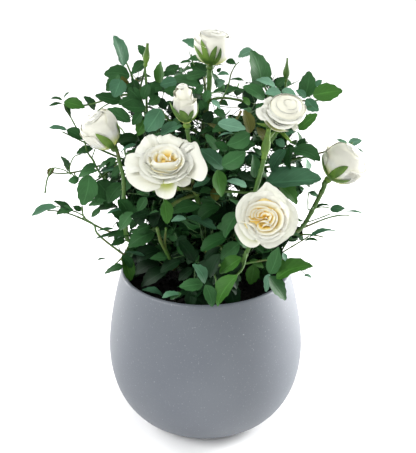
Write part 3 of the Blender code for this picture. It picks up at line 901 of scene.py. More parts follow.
# %% Place the leaflets in the view
NATURAL_BREADTH = 0.64  # of a leaflet's length
MOST_ROLLED = 2.4  # a leaflet looks at most this much narrower than it is
SHORTEST = 1.25  # a leaflet is at most this much broader than natural
TIP_NEARER = 0.18  # how much nearer the viewer a tip is than its foot, as a share of the length
HALF_ARCH = 0.06  # a leaflet arches, so it is set this share of its length lower


def turned_to_view(row):
    """Foot, tip, face and width of one leaflet of the table."""
    u, v, tip_u, tip_v, broad, behind, _ = row
    depth = crown_depth((u + tip_u) / 2, (v + tip_v) / 2) + behind
    scale = FOCAL / (spot(u, v, depth) - EYE).dot(AHEAD)
    looks = math.hypot(tip_u - u, tip_v - v) / scale
    broad = broad / scale
    width = max(broad, min(NATURAL_BREADTH * looks, MOST_ROLLED * broad))
    length = max(looks, width / (NATURAL_BREADTH * SHORTEST))
    lean = math.sqrt(max(length**2 - looks**2, 0.0)) * 0.8 + TIP_NEARER * looks
    lean *= 1.0 if tip_v > v - 4 else -0.6
    foot = spot(u, v, depth + lean / 2)
    tip = spot(tip_u, tip_v, depth - lean / 2)
    along = unit(tip - foot)
    to_eye = unit(EYE - foot)
    flat = unit(np.cross(along, to_eye))
    face = np.cross(flat, along)
    roll = math.acos(min(broad / width, 1.0))
    turns = [face * math.cos(a) + flat * math.sin(a) for a in (roll, -roll)]
    face = max(turns, key=lambda turn: turn[2])
    drop = face * length * HALF_ARCH
    return foot - drop, tip - drop, face, width


shown = [np.array(column) for column in zip(*[turned_to_view(row) for row in SHOWN_LEAFLETS])]
shown_foot, shown_tip, _, shown_width = shown
shown_tone = np.array([row[-1] for row in SHOWN_LEAFLETS])
print("leaflets placed by their spot in the view:", len(shown_foot))

# %% [markdown]
# ### Growth that fills the masses
#
# All other leaves come from one branching rule. Twigs leave the bough of each mass for spots spread
# evenly inside its surface. Leaves are set by even, slightly jittered directions from the middle of
# each mass, face upwards and outwards, and join the nearest twig by a thin stalk. A leaflet is left
# off where it would leave the mass, cover a flower or a leaf that shows, or close a gap with sky. The
# fault noted at TWIGS leaves out the twigs and those stalks; the leaves and their backs are built.


# %% Even directions
def even_directions(count, random):
    """Directions spread evenly by the golden angle, each nudged a little."""
    index = np.arange(count) + 0.5
    height = 1 - 2 * index / count
    turn = index * math.pi * (3 - math.sqrt(5))
    flat = np.sqrt(1 - height**2)
    even = np.stack((flat * np.cos(turn), flat * np.sin(turn), height), axis=-1)
    return unit(even + random.normal(0.0, 0.16, (count, 3)))


def reach_of(name, middle, directions):
    """The distance from a mass's middle to its own surface along each direction."""
    tree = ROOMS[name]
    start = Vector(middle)
    return np.array([tree.ray_cast(start, Vector(way))[3] or 0.0 for way in directions])


def in_box(name, points, room):
    """Which points lie in a node's box, widened by room."""
    low, high = (np.array(corner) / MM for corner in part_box(name))
    return (points > low - room).all(axis=1) & (points < high + room).all(axis=1)


def in_room(points, room, besides=None):
    """Which points lie in some mass, or within room of it, leaving one mass out of account."""
    found = np.zeros(len(points), bool)
    for name, tree in ROOMS.items():
        if name != besides:
            for index in np.flatnonzero(~found & in_box(name, points, room)):
                found[index] = outside_by(tree, points[index]) < room
    return found


def scatter(name, spacing, least, random):
    """A mass's middle, and even directions with the reach of each, as many as the spacing asks for."""
    middle = middle_of(name)
    radius = float(np.median(reach_of(name, middle, even_directions(20, random))))
    directions = even_directions(max(int(4 * math.pi * radius**2 / spacing**2), least), random)
    return middle, directions, reach_of(name, middle, directions)


# %% Twigs
growth_random = np.random.default_rng(2718)
TWIG_RADII = (0.7, 0.38)
TWIG_SPACING = 30.0
TWIG_POINTS = 12
twig_count = 0
for name in sorted(LEAFY):
    middle, directions, reach = scatter(name, TWIG_SPACING, 2, growth_random)
    for way, far in zip(directions, reach):
        tip = middle + way * far * growth_random.uniform(0.55, 0.8)
        join, slope, thick = wood.nearest(tip, thick=0.5)
        path = bend(join, unit(slope + way), tip, unit(way + (0, 0, 0.5)), TWIG_POINTS)
        limb(path, min(thick, TWIG_RADII[0]), TWIG_RADII[1], seed=twig_count, around=6)
        twig_count += 1
print("twigs asked for:", twig_count)

# %% Leaves on the twigs
# By kind of mass: the spacing of leaves on its surface, and how many grow deeper in, as a share. The low
# masses hide the canes' feet and the compost, so they are the fullest.
LEAF_SPACING = {"mass_low": 8.6, "mass_heart": 9.0, "mass_mid": 10.8, "mass_top": 12.0, "shoot": 12.0}
INNER_LEAVES = {"mass_low": 1.0, "mass_heart": 1.0, "mass_mid": 0.75, "mass_top": 0.6, "shoot": 0.6}
BARE_FROM = 3.0  # a leaf is in the open where no other mass comes this near
leaf_foot, leaf_way, leaf_deep = [], [], []
for name in sorted(LEAFY):
    kind = next(start for start in LEAF_SPACING if name.startswith(start))
    middle, directions, reach = scatter(name, LEAF_SPACING[kind], 10, growth_random)
    number = len(directions)
    bare = ~in_room(middle + directions * reach[:, None], BARE_FROM, besides=name)
    share = np.where(bare, growth_random.uniform(0.5, 0.78, number), growth_random.uniform(0.2, 0.6, number))
    kept = bare | (growth_random.uniform(0, 1, number) < INNER_LEAVES[kind])
    leaf_foot.append((middle + directions * (reach * share)[:, None])[kept])
    leaf_way.append(directions[kept])
    leaf_deep.append(~bare[kept])

# %% New leaves at the foot of the canes
# They stand over the compost inside the pot's mouth and leave a crescent at the front bare.
UNDER_LEAVES = 130
UNDER_HEIGHTS = (116.0, 152.0)
CRESCENT = -26.0
MOUTH = 56.0
turn = growth_random.uniform(0, 2 * math.pi, UNDER_LEAVES)
reach = MOUTH * 0.82 * np.sqrt(growth_random.uniform(0.03, 1.0, UNDER_LEAVES))
height = growth_random.uniform(*UNDER_HEIGHTS, UNDER_LEAVES)
under = np.stack((reach * np.cos(turn), reach * np.sin(turn), height), axis=-1)
under = under[under[:, 1] > CRESCENT]
leaf_foot.append(under)
leaf_way.append(unit(under * (1.0, 1.0, 0.0) / MOUTH + (0.0, -0.15, 0.45)))
leaf_deep.append(np.ones(len(under), bool))
leaf_foot, leaf_way, leaf_deep = (np.concatenate(kind) for kind in (leaf_foot, leaf_way, leaf_deep))
print("leaves to set:", len(leaf_foot))


# %% Compound leaves
# Of each leaflet: its place along the stalk, its size, and its side.
LEAF_PLAN = ((1.0, 1.0, 0), (0.72, 0.84, 1), (0.72, 0.84, -1), (0.3, 0.68, 1), (0.3, 0.68, -1))
SHORT_STALK = 0.62  # of a leaf with one pair, by that of a leaf with two


def compound(feet, ways, faces, sizes, pairs, random):
    """Leaflets of whole leaves, and their leaf stalks. The end leaflet carries on along the stalk, and
    each pair leaves it at about 65 degrees, the lower pair smaller."""
    count = len(feet)
    aside = unit(np.cross(faces, ways))
    stalk = sizes * np.where(pairs == 2, 1.0, SHORT_STALK)
    droop = np.array((0.0, 0.0, -1.0)) * (stalk * random.uniform(0.0, 0.35, count))[:, None]
    ends = feet + ways * stalk[:, None] + droop
    parts = []
    for place, size, side in LEAF_PLAN:
        base = feet + (ends - feet) * place
        spread = random.uniform(0.85, 1.15, count)[:, None]
        forward = random.uniform(0.25, 0.6, count)[:, None]
        sag = random.uniform(-0.25, 0.12, count)[:, None]
        way = ways if side == 0 else unit(aside * side * spread + ways * forward + faces * sag)
        long = sizes * size * random.uniform(0.85, 1.15, count)
        gap = way * (long * 0.08)[:, None]
        face = unit(faces + random.normal(0.0, 0.22, (count, 3)))
        width = long * random.uniform(0.54, 0.7, count)
        there = (pairs == 2) | (place > 0.5)
        parts.append((base + gap, base + gap + way * long[:, None], face, width, there))
    return [np.concatenate(kind) for kind in zip(*parts)], ends


leaf_random = np.random.default_rng(1618)
number = len(leaf_foot)
lift = leaf_random.uniform(-0.15, 0.55, number)[:, None] * (0.0, 0.0, 1.0)
way = unit(leaf_way + lift + leaf_random.normal(0.0, 0.35, (number, 3)))
face = unit(np.array((0.0, 0.0, 1.0)) + 0.55 * leaf_way + leaf_random.normal(0.0, 0.3, (number, 3)))
size = leaf_random.uniform(13.0, 20.0, number)
pairs = leaf_random.choice((1, 2), number, p=(0.4, 0.6))
(*grown, grown_there), leaf_end = compound(leaf_foot, way, face, size, pairs, leaf_random)
grown_leaf = np.tile(np.arange(number), len(LEAF_PLAN))
print("leaflets before any is left off:", int(grown_there.sum()))

# %% Gaps with sky: the spot in the view and the gap's radius
SKY = (
    (82, 161, 7), (104, 156, 8), (118, 148, 3), (122, 156, 3), (89, 142, 3), (78, 120, 7), (66, 118, 6),
    (60, 145, 9), (117, 206, 2), (122, 212, 2), (100, 217, 7), (112, 221, 5), (120, 222, 4), (128, 226, 4),
    (132, 220, 3), (139, 224, 3), (151, 221, 3), (174, 226, 2), (194, 197, 4), (102, 232, 3), (110, 240, 3),
    (128, 242, 3), (121, 249, 3), (213, 108, 4), (215, 118, 3), (196, 124, 4), (202, 127, 3), (193, 132, 3),
    (226, 112, 4), (235, 112, 5), (233, 100, 6), (217, 97, 3), (208, 136, 2), (225, 140, 2), (215, 150, 3),
    (246, 170, 4), (248, 157, 2), (259, 150, 3), (273, 156, 3), (277, 171, 3), (248, 190, 3), (126, 127, 7),
    (132, 130, 5), (118, 120, 4), (166, 97, 4), (164, 110, 3), (130, 81, 3), (139, 92, 2), (124, 96, 2),
    (134, 97, 2), (145, 102, 2), (152, 82, 2), (182, 130, 3), (145, 70, 4), (152, 66, 3), (212, 92, 3),
    (246, 76, 5), (240, 72, 5), (228, 66, 4), (222, 80, 3), (222, 98, 3), (284, 142, 2), (322, 200, 5),
    (300, 214, 4), (296, 207, 3), (312, 226, 4), (168, 78, 1), (163, 124, 2), (234, 190, 3), (240, 196, 3),
    (290, 250, 7), (283, 166, 3), (196, 65, 3),
)


# %% Leave off what doesn't fit
def sample(feet, tips, faces, widths):
    """Five points of each leaflet: along its midrib and at both sides of its broadest place."""
    along = tips - feet
    aside = unit(np.cross(faces, along)) * widths[:, None] / 2
    places = [feet + along * share for share in (0.15, 0.5, 0.95)]
    broad = feet + along * WIDEST
    return np.stack((*places, broad + aside, broad - aside), axis=1)


def covers(view, marks, sizes, nearer=0.0):
    """Which samples are seen within a mark's size of it and in front of it."""
    off = np.hypot(view[:, None, 0] - marks[None, :, 0], view[:, None, 1] - marks[None, :, 1])
    front = view[:, None, 2] < marks[None, :, 2] + nearer
    return ((off < sizes[None]) & front).any(axis=1)


ROOM = 1.5
SKY_ROOM = 1.0
FLOWER_ROOM = 1.0
FLOWER_SHARE = 0.97  # how much of a flower's breadth is kept clear
LEAF_SHARE, LEAF_ROOM = 0.45, 1.5  # the same for a leaf that shows, and room around it
MOUTH_HEIGHTS = (110.0, 160.0)
samples = sample(*grown).reshape(-1, 3)
view = seen(samples)
in_mouth = np.hypot(samples[:, 0], samples[:, 1]) < MOUTH
in_mouth &= (samples[:, 2] > MOUTH_HEIGHTS[0]) & (samples[:, 2] < MOUTH_HEIGHTS[1])
good = in_room(samples, ROOM) | in_mouth
sky = np.array([(u, v, math.inf, radius + SKY_ROOM) for u, v, radius in SKY])
good &= ~covers(view, sky, sky[:, 3])

flower_box = [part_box(name) for name in SEATS]
flower_middle = np.array([(low + high) / 2 / MM for low, high in flower_box])
flower_radius = np.array([max(high - low) / 2 / MM for low, high in flower_box])
flower_view = seen(flower_middle)
good &= ~covers(view, flower_view, flower_radius * FOCAL / flower_view[:, 2] * FLOWER_SHARE)
far = np.linalg.norm(samples[:, None] - flower_middle[None], axis=2)
good &= ~(far < flower_radius + FLOWER_ROOM).any(axis=1)

shown_view = seen(sample(*shown).reshape(-1, 3))
shown_size = np.repeat(shown_width * LEAF_SHARE * FOCAL / shown_view[::5, 2], 5) + LEAF_ROOM
good &= ~covers(view, shown_view, shown_size, nearer=1.0)
grown_there &= good.reshape(-1, 5).all(axis=1)
print("leaflets kept:", int(grown_there.sum()))

# %% Tones by leaf
tone_random = np.random.default_rng(42)
SHADE_BELOW = 176.0  # leaves lower than about this lie in the crown's own shade
LIT_LESS_FROM = 20.0  # leaves further right are darkest only in part, since less light falls there
OUTER_TONES = (("D", 0.36), ("M", 0.34), ("B", 0.14), ("G", 0.09), ("P", 0.03), ("O", 0.04))
leaf_tone = tone_random.choice([t for t, _ in OUTER_TONES], number, p=[share for _, share in OUTER_TONES])
# Painted shade: leaves deep in the crown get the dark or the shade tone.
leaf_tone = np.where(leaf_deep, tone_random.choice(("D", "T"), number), leaf_tone)
# Painted light: on the right most dark leaves get the middle tone, to make up for the less light that falls
# there.
lit_less_painted_lighter = (leaf_foot[:, 0] > LIT_LESS_FROM) & (tone_random.uniform(0, 1, number) < 0.6)
leaf_tone = np.where(lit_less_painted_lighter & (leaf_tone == "D"), "M", leaf_tone)
# Painted shade: leaves low in the crown get mostly the dark and the shade tones.
painted_shade_tones = tone_random.choice(("D", "T", "M"), number, p=(0.4, 0.5, 0.1))
about = leaf_foot[:, 2] + tone_random.uniform(-12, 12, number)
leaf_tone = np.where(about < SHADE_BELOW, painted_shade_tones, leaf_tone)

every_leaflet = [np.concatenate((first, rest[grown_there])) for first, rest in zip(shown, grown)]
every_tone = np.concatenate((shown_tone, leaf_tone[grown_leaf][grown_there]))

# %% Leaf stalks
# A stalk joins the wood to a leaf's first leaflets, and a back runs on from there to its last. The
# stalks are missing for now: see the fault noted at TWIGS.
LEAF_STALK, STALK_POINTS = (0.42, 0.26), 7
LEAF_BACK, BACK_POINTS = (0.36, 0.2), 5
leaf_stalk_heap = Heap()


def add_leaf_stalks(starts, leave, ends, arrive, radii, count):
    """Thin five-sided stalks of count points that taper between the two radii."""
    thin = np.linspace(*radii, count)[None, :, None]
    leaf_stalk_heap.add(tubes(bend(starts, leave, ends, arrive, count), thin, 5), ring=True)


alive = np.unique(grown_leaf[grown_there])
ends = np.concatenate((leaf_foot[alive], shown_foot))
arrive = np.concatenate((way[alive], unit(shown_tip - shown_foot)))
joins, slopes, _ = (np.array(kind) for kind in zip(*[wood.nearest(foot, lift=0.2) for foot in ends]))
add_leaf_stalks(joins, unit(slopes + arrive), ends, arrive, LEAF_STALK, STALK_POINTS)
add_leaf_stalks(leaf_foot[alive], way[alive], leaf_end[alive], way[alive], LEAF_BACK, BACK_POINTS)


# %% Leaf finish
def leaf_finish(name, tone):
    """A half-gloss leaf: the spray's tone, slightly clouded, with a pale midrib and faint side veins."""
    made = Finish(name, roughness=0.56, specular=0.08 + 1.1 * min(tone[1], 0.12))
    across, along = made.chart()
    off = made.math("ABSOLUTE", made.math("SUBTRACT", across, 0.5))
    midrib = made.math("SUBTRACT", 1.0, made.between(off, 0.01, 0.05))
    slant = made.math("SUBTRACT", made.math("MULTIPLY", along, 8.0), made.math("MULTIPLY", off, 5.0))
    swing = made.math("ABSOLUTE", made.math("SUBTRACT", made.math("FRACT", slant), 0.5))
    veins = made.math("SUBTRACT", 1.0, made.between(swing, 0.02, 0.14))
    cloud = made.between(made.noise(70.0, 2.0), 0.3, 0.7)
    darker = tuple(0.78 * part for part in tone)
    lighter = tuple(min(1.45 * part + 0.01, 1.0) for part in tone)
    body = made.mix(cloud, darker, tone)
    veined = made.mix(made.math("MULTIPLY", veins, 0.16), body, lighter)
    made.colour(made.mix(made.math("MULTIPLY", midrib, 0.55), veined, lighter))
    height = made.math("MULTIPLY", made.math("MAXIMUM", midrib, made.math("MULTIPLY", veins, 0.6)), -1.0)
    made.bump(height, distance=0.12, strength=0.6)
    return made.material


leaflet_random = np.random.default_rng(31)
for letter, (name, tone) in TONES.items():
    mine = every_tone == letter
    heap = Heap()
    heap.add(leaflets(*(kind[mine] for kind in every_leaflet), leaflet_random))
    piece(name, heap, leaf_finish(name, tone), LEAFY)

# %% [markdown]
# ## Stem finishes
#
# Young rose wood is light green, browner where it is older and reddish at some nodes. The thin leaf
# stalks are their own piece in the same green.


# %% Stem finish and prickles
def stem_finish(name, green, brown, share):
    made = Finish(name, roughness=0.5, specular=0.4)
    cloud = made.between(made.noise(45.0, 3.0), 0.62 - share, 0.85 - share)
    fine = made.noise(900.0, 3.0)
    base = made.mix(cloud, green, brown)
    made.colour(made.mix(made.math("MULTIPLY", fine, 0.25), base, tuple(0.6 * part for part in green)))
    made.bump(fine, distance=0.15, strength=0.5)
    return made.material


PRICKLES = 150
PRICKLE_WOOD = 1.25  # the thinnest wood that bears them
PRICKLE_SIZES = (1.1, 2.0)
prickle_random = np.random.default_rng(77)
thick_wood = np.flatnonzero(wood.radii > PRICKLE_WOOD)
chosen = prickle_random.choice(thick_wood, PRICKLES, replace=False)
root, slope, round_by = wood.points[chosen], wood.slopes[chosen], wood.radii[chosen]
out = unit(np.cross(slope, prickle_random.normal(0.0, 1.0, (PRICKLES, 3))))
root = root + out * round_by[:, None] * 0.8
prickle_size = prickle_random.uniform(*PRICKLE_SIZES, PRICKLES)[:, None]
point = root + out * prickle_size - slope * prickle_size * 0.5
prickle_paths = bend(root, out, point, unit(out - slope), 5)
prickle_radii = np.linspace(0.55, 0.05, 5)[None, :, None]
stem_heap.add(tubes(prickle_paths, prickle_radii, 6), ring=True)

STEM_GREEN = screen(66, 100, 38)
STEM_BROWN = screen(112, 92, 58)
LEAF_STALK_GREEN = screen(56, 88, 42)
WOOD_NODES = [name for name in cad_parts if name.startswith(("cane_", "stalk_", "twig_"))]
bark = stem_finish("stem_bark", STEM_GREEN, STEM_BROWN, 0.1)
piece("wood", stem_heap, bark, WOOD_NODES)
leaf_stalk_finish = stem_finish("leaf_stalk", LEAF_STALK_GREEN, STEM_BROWN, 0.0)
piece("leaf_stalks", leaf_stalk_heap, leaf_stalk_finish, WOOD_NODES)

# %% [markdown]
# ## Petals
#
# A petal is known by its edge: where its rim runs decides the flower's outline. So each petal is made
# from its seat on the flower's axis and a curve for its edge. Every line of the petal is a cubic curve
# from the seat to one place on the edge; how steeply it leaves and how flat it arrives make it an
# upright inner petal or a flat outer one. A small roll and a ripple at the rim finish it. Measuring
# each petal along its length instead would be nearer to botany, but the outline would have to be found
# by trial.


# %% Places on a flower
def outwards(axes, turn):
    """The ways from a flower's axis at the turns, in radians."""
    return np.cos(turn)[..., None] * axes[0] + np.sin(turn)[..., None] * axes[1]


def on_flower(middle, axes, u, v, rise):
    """The point seen at (u, v) that lies the given rise above the flower's middle."""
    way = sight(u, v)
    return EYE + way * ((middle + axes[2] * rise - EYE) @ axes[2]) / (way @ axes[2])


# %% One petal
PETAL_ROWS = 20
PETAL_COLUMNS = 27


def petal(seat, axes, edge, leave, arrive, lip, ripple, crests=3.0, phase=0.0, foot=0.16):
    """A grid from the seat to the edge. Line j is a cubic from the foot, seat + foot share of the way to
    edge point j, to that point; leave and arrive are its angles from the axis at both ends. The last
    fifth rolls outwards by lip, and ripples of the given height run round the rim."""
    out = axes[2]
    arm = edge - seat
    flat = arm - (arm @ out)[:, None] * out
    outward = unit(flat)
    start = seat + flat * foot
    off = math.cos(math.radians(leave)) * out + math.sin(math.radians(leave)) * outward
    on = math.cos(math.radians(arrive)) * out + math.sin(math.radians(arrive)) * outward
    lines = bend(start, off, edge, on, PETAL_ROWS).transpose(1, 0, 2)
    t = np.linspace(0.0, 1.0, PETAL_ROWS)[:, None, None]
    v = np.linspace(-1.0, 1.0, len(edge))[None, :, None]
    roll = ((t - 0.8) / 0.2).clip(0) ** 2 * lip
    wave = np.sin(crests * math.pi * v + phase + 1.5 * t)
    wave = wave + 0.5 * np.sin(2.3 * crests * math.pi * v + 2 * phase)
    lines = lines + roll * (0.5 * outward[None] - 0.9 * out)
    lines = lines + ripple * t**3 * wave * (0.8 * out + 0.3 * outward[None])
    return lines[None]


# Warmth towards the seat is partly the petals' own yellow feet and, in the flowers' hearts, partly painted
# shade in the deep gaps between petals.
def depth_warmth(warm, fade, span=1.0):
    """Warmth that is full from the seat up to the last part, span, and fades from there to the rim."""
    t = np.linspace(0.0, 1.0, PETAL_ROWS)[:, None]
    tint = warm * ((1 - t) / span).clip(0, 1) ** fade
    return np.repeat(tint, PETAL_COLUMNS, axis=1)[None]


def round_edge(middle, axes, bearing, half, reach, rise, corner=0.2, sag=0.25, point=0.0):
    """The edge of a petal in its ring: an arc of bearings whose reach and rise drop at both corners."""
    v = np.linspace(-1.0, 1.0, PETAL_COLUMNS)
    far = reach * (1 - corner * np.abs(v) ** 3.5 + point * np.exp(-((v / 0.25) ** 2)))
    up = rise - sag * reach * np.abs(v) ** 3
    way = outwards(axes, np.radians(bearing + half * v))
    return middle + far[:, None] * way + up[:, None] * axes[2]


def seen_edge(middle, axes, spots):
    """The edge of a petal through spots in the view: each is u, v and the rise above the middle."""
    points = [on_flower(middle, axes, u, v, rise) for u, v, rise in spots]
    return through(points, PETAL_COLUMNS)


# %% [markdown]
# ### The heart of a double flower
#
# In the heart the petals are small and stand close together, each with its rim against the inner face of
# the next one out. So the order of light is the same all over: a bright rim, a narrow deep gap, then a
# face that brightens towards its own rim. The petals' feet are yellow, and gold is painted into the gaps
# beyond that, as painted shade and as the painted glow of light coming back from those feet. A dome
# under the petals, painted warm, keeps any gap from looking into a black hole.


# %% A flower in the making
# The same fade also serves the olive green painted as shadow on a few petals.
GREEN_AND_SHADE_FADE = (1.3, 0.62)  # how the green of a petal's foot fades, and over what part of its length
DOME_ROWS, DOME_ROUND = 9, 32


class Bloom:
    """One open flower: its seat, middle and axes, the petals made so far, and its own chance."""

    def __init__(self, name, seed):
        self.name, self.heap = name, Heap()
        self.seat, self.middle, self.axes = SEATS[name], MIDDLES[name], AXES[name]
        self.random = np.random.default_rng(seed)

    def petals(self, rows, leave, span, lip, ripple):
        """Petals whose rims are given in the view: rows of arrival angle, warmth and spots."""
        for arrive, warm, spots in rows:
            edge = seen_edge(self.middle, self.axes, spots)
            phase = self.random.uniform(0, 6)
            grid = petal(self.seat, self.axes, edge, leave, arrive, lip, ripple, phase=phase)
            fade = (1.0, span) if warm > 0 else GREEN_AND_SHADE_FADE
            self.heap.add(grid, depth_warmth(warm, *fade))

    def rings(self, rows, middle, leave, lip, spread):
        """Rings of petals: reach, rise, half angle, arrival angle, how many, first bearing, warmth.
        Spread is how far the bearings wander, in degrees."""
        for reach, rise, half, arrive, count, first, warm in rows:
            for index in range(count):
                bearing = first + index * 360 / count + self.random.uniform(-spread, spread)
                far = reach * self.random.uniform(0.93, 1.06)
                up = rise + self.random.uniform(-0.6, 0.5)
                wide = half * self.random.uniform(0.88, 1.12)
                edge = round_edge(middle, self.axes, bearing, wide, far, up, corner=0.17, sag=0.18)
                phase = self.random.uniform(0, 6)
                tilt = arrive + self.random.uniform(-8, 8)
                grid = petal(self.seat, self.axes, edge, leave, tilt, lip, 0.3, 2.0, phase)
                self.heap.add(grid, depth_warmth(warm, 1.0))

    def dome(self, middle, radius, rise, height, warm, squash=(1, 1)):
        """A dome: rise + height (1 - (r / radius)^2). Warm is its warmth at the middle and the edge."""
        share = np.linspace(1.0, 0.0, DOME_ROWS)[:, None]
        turn = full_turn(DOME_ROUND)[None, :]
        way = outwards(self.axes * np.array((*squash, 1))[:, None], turn)
        up = rise + height * (1 - share**2) + 0 * turn
        tint = warm[0] + (warm[1] - warm[0]) * share + 0 * turn
        grid = middle + radius * share[..., None] * way + up[..., None] * self.axes[2]
        self.heap.add(grid[None], tint[None], ring=True)


def flower_piece(name, heap):
    """The petals of one flower as one piece."""
    piece(name.replace("bloom", "petals"), heap, petal_finish.material, [name])


# %% Petal finish
# Warmth above zero runs from white through cream to gold, which in the flowers' hearts is partly painted
# shade; below zero it runs to the green of a petal's foot, which on a few petals is painted shadow instead.
PETAL_WHITE = screen(222, 223, 212)
PETAL_CREAM = screen(225, 217, 174)
PETAL_GOLD = screen(238, 200, 96)
PETAL_GREEN = screen(196, 206, 116)
STREAKS = (34.0, 2.5)  # across and along a petal


def petal_colours(made):
    """A petal's tone by its warmth, its fine streaks and its soft translucence."""
    warmth = made.node("ShaderNodeAttribute", attribute_name="warmth").outputs["Fac"]
    place = made.node("ShaderNodeCombineXYZ")
    for socket, part, scale in zip(place.inputs, made.chart(), STREAKS):
        made.put(socket, made.math("MULTIPLY", part, scale))
    cream = made.mix(made.between(warmth, 0.03, 0.5), PETAL_WHITE, PETAL_CREAM)
    golden = made.mix(made.between(warmth, 0.35, 1.0), cream, PETAL_GOLD)
    coolness = made.math("MULTIPLY", warmth, -1.0)
    made.colour(made.mix(made.between(coolness, 0.03, 1.0), golden, PETAL_GREEN))
    made.bump(made.noise(1.0, place=place.outputs[0]), distance=0.12, strength=0.5)
    for key, value in (("Weight", 0.5), ("Radius", (0.8, 0.8, 0.8)), ("Scale", 0.005)):
        made.put(made.shader.inputs["Subsurface " + key], value)


petal_finish = Finish("petal", roughness=0.62, specular=0.25)
petal_colours(petal_finish)

# %% [markdown]
# ### The front left flower
#
# It is wide open and leans back, so the far petals stand tall behind the heart, the near ones are seen
# as a stack of rims, and one small petal hangs down at the front, its top painted olive green as shadow.
# Petals that show have their rims by spots in the view: u, v, and the rise above the flower's middle.
# Those in between come in rings.

# %% The front left flower
# Arrival angle, warmth, rim: back right, back left, left, lower left, hanging, lower right, right.
LEFT_OUTER = (
    (100, 0.4, [(156, 140, 6), (158, 136, 6), (163, 135, 6), (170, 134, 6), (177, 137, 6), (184, 141, 5)]),
    (98, 0.4, [(135, 156, 1), (136, 150, 2), (140, 143, 3), (145, 137, 4), (150, 134, 4), (157, 136, 4)]),
    (86, 0.4, [(141, 150, 2), (134, 152, 2), (127, 155, 1), (125, 161, 0), (126, 167, -1), (131, 173, -1)]),
    (92, 0.4, [
        (127, 167, -2), (126, 174, -3), (130, 182, -4), (138, 188, -4), (147, 191, -4), (160, 187, -5),
    ]),
    # The hanging petal: its negative warmth paints its top olive green, as painted shadow.
    (118, -1.3, [
        (157, 184, -8), (155, 189, -9), (158, 195, -10), (166, 198, -11), (174, 195, -10), (177, 184, -8),
    ]),
    (96, 0.4, [
        (173, 180, -4), (176, 184, -5), (181, 186, -5), (186, 185, -5), (190, 182, -5), (191, 174, -3),
    ]),
    (80, 0.4, [
        (184, 143, 5), (190, 142, 5), (196, 142, 4), (201, 153, 3), (207, 168, 1), (202, 180, -1),
        (190, 177, -2),
    ]),
    (88, 0.4, [(176, 137, 4), (181, 138, 4), (186, 140, 4), (191, 143, 4), (194, 147, 4)]),
)
# The heart, from the outside in.
LEFT_INNER = (
    (72, 0.6, [
        (148, 156, 6), (150, 150, 6.5), (156, 146, 7), (164, 144, 7), (172, 144, 7), (180, 149, 6.5),
        (184, 156, 6),
    ]),
    (60, 1.3, [(180, 152, 6.5), (183.5, 156, 6.3), (184.5, 161, 6), (182.5, 166, 5.8), (178.5, 170, 5.5)]),
    (60, 1.1, [(149, 165, 5.5), (146.5, 160, 6), (147, 155, 6.4), (150, 150.5, 6.8), (155, 148, 7)]),
    (62, 1.3, [(158, 152.5, 7), (160.5, 149.5, 7.3), (165, 147.5, 7.5), (171, 148, 7.5), (176, 151, 7)]),
    (58, 1.3, [(173, 151, 7.2), (178, 153, 7), (180.5, 157, 6.8), (180, 161, 6.5), (176.8, 166, 6.2)]),
    (62, 1.7, [(152.8, 163, 6.2), (151.5, 158, 6.5), (153, 153.5, 7), (157, 151, 7.2)]),
    (52, 1.7, [(170.5, 160.5, 6.5), (170.5, 156, 7), (172.5, 152.5, 7.2), (176, 153, 7), (178, 157, 6.8)]),
    (52, 1.3, [
        (158, 161, 6.5), (157.6, 157, 6.8), (159.5, 154, 7), (162.5, 153.5, 7.1), (165.5, 156, 6.8),
        (168.5, 160, 6),
    ]),
    (28, 0.3, [
        (142, 160, 5), (147, 167.5, 5), (154, 171, 5.2), (162, 172.8, 5.3), (170, 172.8, 5.3),
        (178, 171, 5), (184, 166, 5),
    ]),
    (14, 0.3, [
        (146, 160, 6), (150, 165.3, 6), (156, 168, 6.2), (163, 169.3, 6.3), (170, 170.2, 6.3),
        (176, 168.8, 6), (181, 164, 6),
    ]),
)
LEFT_RINGS = (
    (18.0, 1.6, 42, 82, 5, 20, 0.35),
    (16.0, 3.2, 44, 70, 5, 55, 0.4),
    (14.0, 4.4, 44, 58, 5, 5, 0.45),
)
# The smooth petal at the front bulges towards the viewer and leans back in at its rim.
FRONT_RIM = [
    (153.5, 160, 6.6), (156, 162.2, 7), (160, 163, 7), (165, 162.4, 7),
    (170, 162, 7), (174.5, 161.8, 6.8), (178, 159, 6.6),
]
left = Bloom("bloom_front_left", seed=5)
heart = left.middle - left.axes[0]
left.petals(LEFT_OUTER, leave=50, span=1.0, lip=0.7, ripple=0.4)
left.rings(LEFT_RINGS, heart, leave=30, lip=0.35, spread=13)
left.petals(LEFT_INNER, leave=24, span=0.4, lip=0.2, ripple=0.12)
left.dome(heart, radius=12.0, rise=1.0, height=2.4, warm=(0.9, 0.3))
edge = seen_edge(left.middle, left.axes, FRONT_RIM)
left.heap.add(petal(left.seat, left.axes, edge, 62, -58, 0.0, 0.1, 2.0, 2.0), depth_warmth(0.42, 0.5))
flower_piece(left.name, left.heap)

# %% [markdown]
# ### The front right flower
#
# It faces the viewer, so its outline is its outer petals: one comes to a point at the top, and the one at
# the lower left is folded over into a hollow, whose olive green is painted shade. The heart is wider than
# the other's and quartered: its petals press together from both sides round a small white fold.

